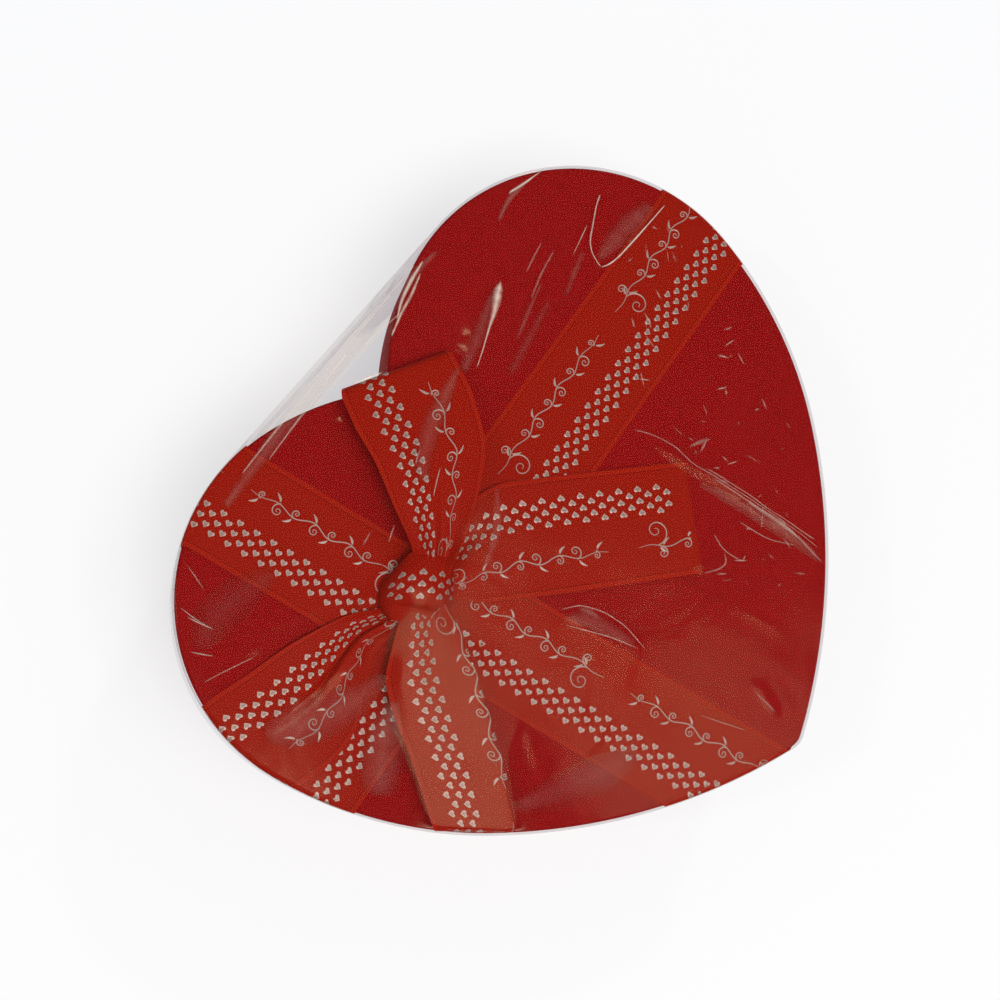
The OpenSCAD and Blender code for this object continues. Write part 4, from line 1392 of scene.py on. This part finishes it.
def crease_strips(first):
    """Points, faces and whiteness of all creases. first is the number of their first point.
    Across a strip, c from -1 to 1, the height rises by high (1 - c^2) and the whiteness is
    white (1 - |c|), and both fade over the last 1.2 mm."""
    points, faces, haze = [], [], []
    c = np.linspace(-1, 1, 5)
    for white, high, line in CREASES:
        p = np.array(line)
        k = lengths(p[:, :2])
        t = np.linspace(0, k[-1], max(7, int(k[-1] / 0.6)))
        x, y, w = (np.interp(t, k, p[:, j]) for j in range(3))
        for _ in range(6):
            x[1:-1], y[1:-1] = ((q[:-2] + 2 * q[1:-1] + q[2:]) / 4 for q in (x, y))
        dx, dy = np.gradient(x), np.gradient(y)
        size = np.hypot(dx, dy)
        fade = smooth(np.minimum(t, t[-1] - t) / 1.2 + 0.1)[:, None]
        px = x[:, None] - (dy / size * w)[:, None] * c / 2
        py = y[:, None] + (dx / size * w)[:, None] * c / 2
        pz = film_height(px, py) + tents(px, py) + 0.06 + high * (1 - c**2) * fade
        points.append(np.stack([px, py, pz], -1).reshape(-1, 3))
        uneven = np.convolve(rng.uniform(0.6, 1.2, len(t)), [0.25, 0.5, 0.25], "same")[:, None]
        # Whiteness of a strip: partly the film's own whitening, partly painted highlight, and
        # painted haze on the veils.
        haze.append((white * (1 - np.abs(c)) * fade * uneven).ravel())
        cell, _ = cells(len(t), 5)
        faces.append(cell + first)
        first += len(t) * 5
    return np.concatenate(points), np.concatenate(faces), np.concatenate(haze)


ridge = tents(*film_edge.T)
print("tents at the film's edge, up to", ridge.max().round(2), "mm")

# %% [markdown]
# ## Skins of film
#
# Each film piece is one skin: rings of points from the middle out to the edge, over a rounded
# rim, along the side in small waves, and out into the welded seam half way up. Film is so thin
# that it stays a single layer.

# %% A skin from rings
def skin(name, rows, tops, centre_z, body, node_name, up=True, creased=False):
    """One layer of film from rings of points, closed by a fan at the middle, and its creases."""
    points = np.dstack([np.stack(rows), np.stack(tops)])
    faces, _ = cells(*points.shape[:2], loop_cols=True)
    n, ring = points.shape[1], np.arange(points.shape[1])
    fan = np.stack([np.full(n, points.shape[0] * n), ring, np.roll(ring, -1)], -1)
    faces = [*(faces[:, ::-1] if up else faces), *(fan if up else fan[:, ::-1])]
    flat_points = np.vstack([points.reshape(-1, 3), [[0, 0, centre_z]]])
    haze = np.zeros(len(flat_points))
    if creased:
        extra, strips, whites = crease_strips(len(flat_points))
        flat_points, haze = np.vstack([flat_points, extra]), np.concatenate([haze, whites])
        faces = [*faces, *strips]
    made = new_piece(name, flat_points, faces, film, turn=80, closed=False)
    made.data.attributes.new("haze", "FLOAT", "POINT").data.foreach_set(
        "value", haze.astype(np.float32)
    )
    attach(made, body)
    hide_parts(node_name)
    return made


SEAM_Z = 25.5


def seam(rows, tops, up):
    """Adds the two last rings, out into the seam. up is 1 for the upper film, -1 for the lower."""
    for out, gap in ((1.1, 0.45), (1.65, 0.35)):
        rows.append(outline(-out, bridge=True))
        tops.append(np.full(len(rows[-1]), SEAM_Z + up * gap))


# %% [markdown]
# ## The film over the lid
#
# Its top follows the relaxed height and the tents, which fade out towards the edge, where the
# film is held. Then come the bend, the side and the seam.

# %% Film over the lid
shares = np.concatenate([np.linspace(0.012, 0.9, 96), np.linspace(0.9, 1, 26)[1:]])
rows = [s * film_edge for s in shares]
tops = [film_height(*r.T) + tents(*r.T) * min(1, 8 * (1 - s)) for s, r in zip(shares, rows)]
bend = np.linspace(0, np.pi / 2, 8)[1:]
for a in bend:
    loop = outline(EDGE_IN - (EDGE_IN + SIDE_OUT) * np.sin(a), bridge=True)
    rows.append(loop)
    tops.append(np.full(len(loop), FILM_Z - BEND_R * (1 - np.cos(a))))
walk = lengths(film_edge)
for z in np.linspace(FILM_Z - BEND_R, SEAM_Z + 0.8, 26)[1:]:
    down = (FILM_Z - BEND_R - z) / 23
    wave = 0.08 * np.sin(walk * 2 * np.pi / 11 + 3 * down) + 0.04 * np.sin(walk * 2 * np.pi / 4.3)
    loop = outline(-SIDE_OUT, bridge=True)
    grow = 1 + (wave * smooth(down * 4))[:, None] / np.linalg.norm(loop, axis=1, keepdims=True)
    rows.append(loop * grow)
    tops.append(np.full(len(loop), z))
seam(rows, tops, 1)
film_over = skin(
    "film_over_lid",
    rows,
    tops,
    float(film_height(np.zeros(1), np.zeros(1))[0]),
    "film_top",
    "film_top",
    creased=True,
)
print("film over the lid", len(film_over.data.polygons), "faces")

# %% [markdown]
# ## The film under the base
#
# The lower half lies under the floor and comes up the side, in to the narrower base and out
# again to the seam, where it meets the upper one.

# %% Film under the base
rows, tops = [], []
foot = outline(2.5, bridge=True)
for s in np.linspace(0.02, 0.96, 24):
    rows.append(s * foot)
    tops.append(0.14 + 0.02 * np.sin(rows[-1][:, 0] / 9) * np.cos(rows[-1][:, 1] / 7) * s)
for share in np.linspace(0, 1, 30):
    side = outline(mix(2.5, -0.9, smooth(share * 1.05)), bridge=True)
    wave = 0.15 * np.sin(walk * 2 * np.pi / 9 + 2 * share) * np.sin(np.pi * share)
    rows.append(side * (1 + wave[:, None] / np.linalg.norm(side, axis=1, keepdims=True)))
    tops.append(np.full(len(side), mix(0.4, SEAM_Z - 0.6, share)))
seam(rows, tops, -1)
film_under = skin(
    "film_under_base",
    rows,
    tops,
    0.14,
    "base",
    "film_bottom",
    up=False,
)
print("film under the base", len(film_under.data.polygons), "faces")

# %% [markdown]
# ## The table
#
# A white table, as for a catalogue. It is lit as any table is, and it keeps the box's shadow,
# but rays that look at it see it a little brighter, so that it comes out near white.

# %% White table
def looking_rays(tree):
    """1 for rays that look, straight, by a mirror or through glass, and 0 for those that light."""
    rays, looked = add(tree, "LightPath"), 0.0
    for kind in ("Is Camera Ray", "Is Glossy Ray", "Is Transmission Ray"):
        looked = add(tree, "Math", {0: looked, 1: rays.outputs[kind]}, operation="MAXIMUM")
    return looked


floor_mesh = bpy.data.meshes.new("floor")
floor_mesh.from_pydata([(-4, -4, 0), (4, -4, 0), (4, 4, 0), (-4, 4, 0)], [], [(0, 1, 2, 3)])
floor = bpy.data.objects.new("floor", floor_mesh)
scene.collection.objects.link(floor)
table_top, tree = start("white_table")
shader = add(tree, "BsdfPrincipled", {"Base Color": colour("#f4f5f8"), "Roughness": 0.8})
share = add(tree, "Math", {0: looking_rays(tree), 1: 0.6}, operation="MULTIPLY")
bright = add(tree, "Emission", {"Color": colour("#ffffff"), "Strength": 1.0})
cover = add(tree, "MixShader", {0: share, 1: shader, 2: bright})
add(tree, "OutputMaterial", {"Surface": cover})
floor_mesh.materials.append(table_top)
print(table_top.name)

# %% [markdown]
# ## Lamps
#
# Two broad lamps stand where flat film on the near half of the lid mirrors them, which gives the
# pale haze there, and two small ones make the sharp glints on the creases.

# %% Lamps
def lamp(name, place, target, size, power, turn=0.0):
    """An area lamp at a place in metres, turned to the target. size is its two sides, and turn
    is the direction of the first in plan, in degrees."""
    light = bpy.data.lights.new(name, "AREA")
    light.shape, light.size, light.size_y, light.energy = "RECTANGLE", *size, power
    light.color = colour("#fffaf2")[:3]
    made = bpy.data.objects.new(name, light)
    scene.collection.objects.link(made)
    back = np.array(place) - np.array(target)
    back = back / np.linalg.norm(back)
    side = np.array([*ray(np.radians(turn)), 0.0])
    side = side - side @ back * back
    side = side / np.linalg.norm(side)
    up = np.cross(back, side)
    made.matrix_world = Matrix(
        np.vstack([np.column_stack([side, up, back, place]), [0, 0, 0, 1]]).tolist()
    )


lamp("low_lamp", (0.09, -0.48, 1.25), (0, 0, 0.05), (0.38, 0.5), 3.2, -50.4)
lamp("broad_lamp", (-0.22, -0.225, 1.25), (0, 0, 0.05), (0.44, 0.56), 8.2, -50.4)
lamp("glint_lamp", (-0.5, 0.6, 1.1), (0, 0, 0.05), (0.1, 0.1), 1.6)
lamp("side_glint", (0.9, 0.25, 0.9), (0, 0, 0.05), (0.1, 0.1), 1.6)
print(len(bpy.data.lights), "lamps")

# %% [markdown]
# ## The room
#
# A pale room fills the shadows. As with the table, rays that look see it white.

# %% World
world = bpy.data.worlds.new("white_room")
scene.world = world
world.use_nodes = True
tree = world.node_tree
tree.nodes.clear()
room = add(tree, "Background", {"Color": colour("#e4eeff"), "Strength": 0.38})
shown = add(tree, "Background", {"Color": colour("#ffffff"), "Strength": 1.0})
both = add(tree, "MixShader", {0: looking_rays(tree), 1: room, 2: shown})
add(tree, "OutputWorld", {"Surface": both})
print(world.name)
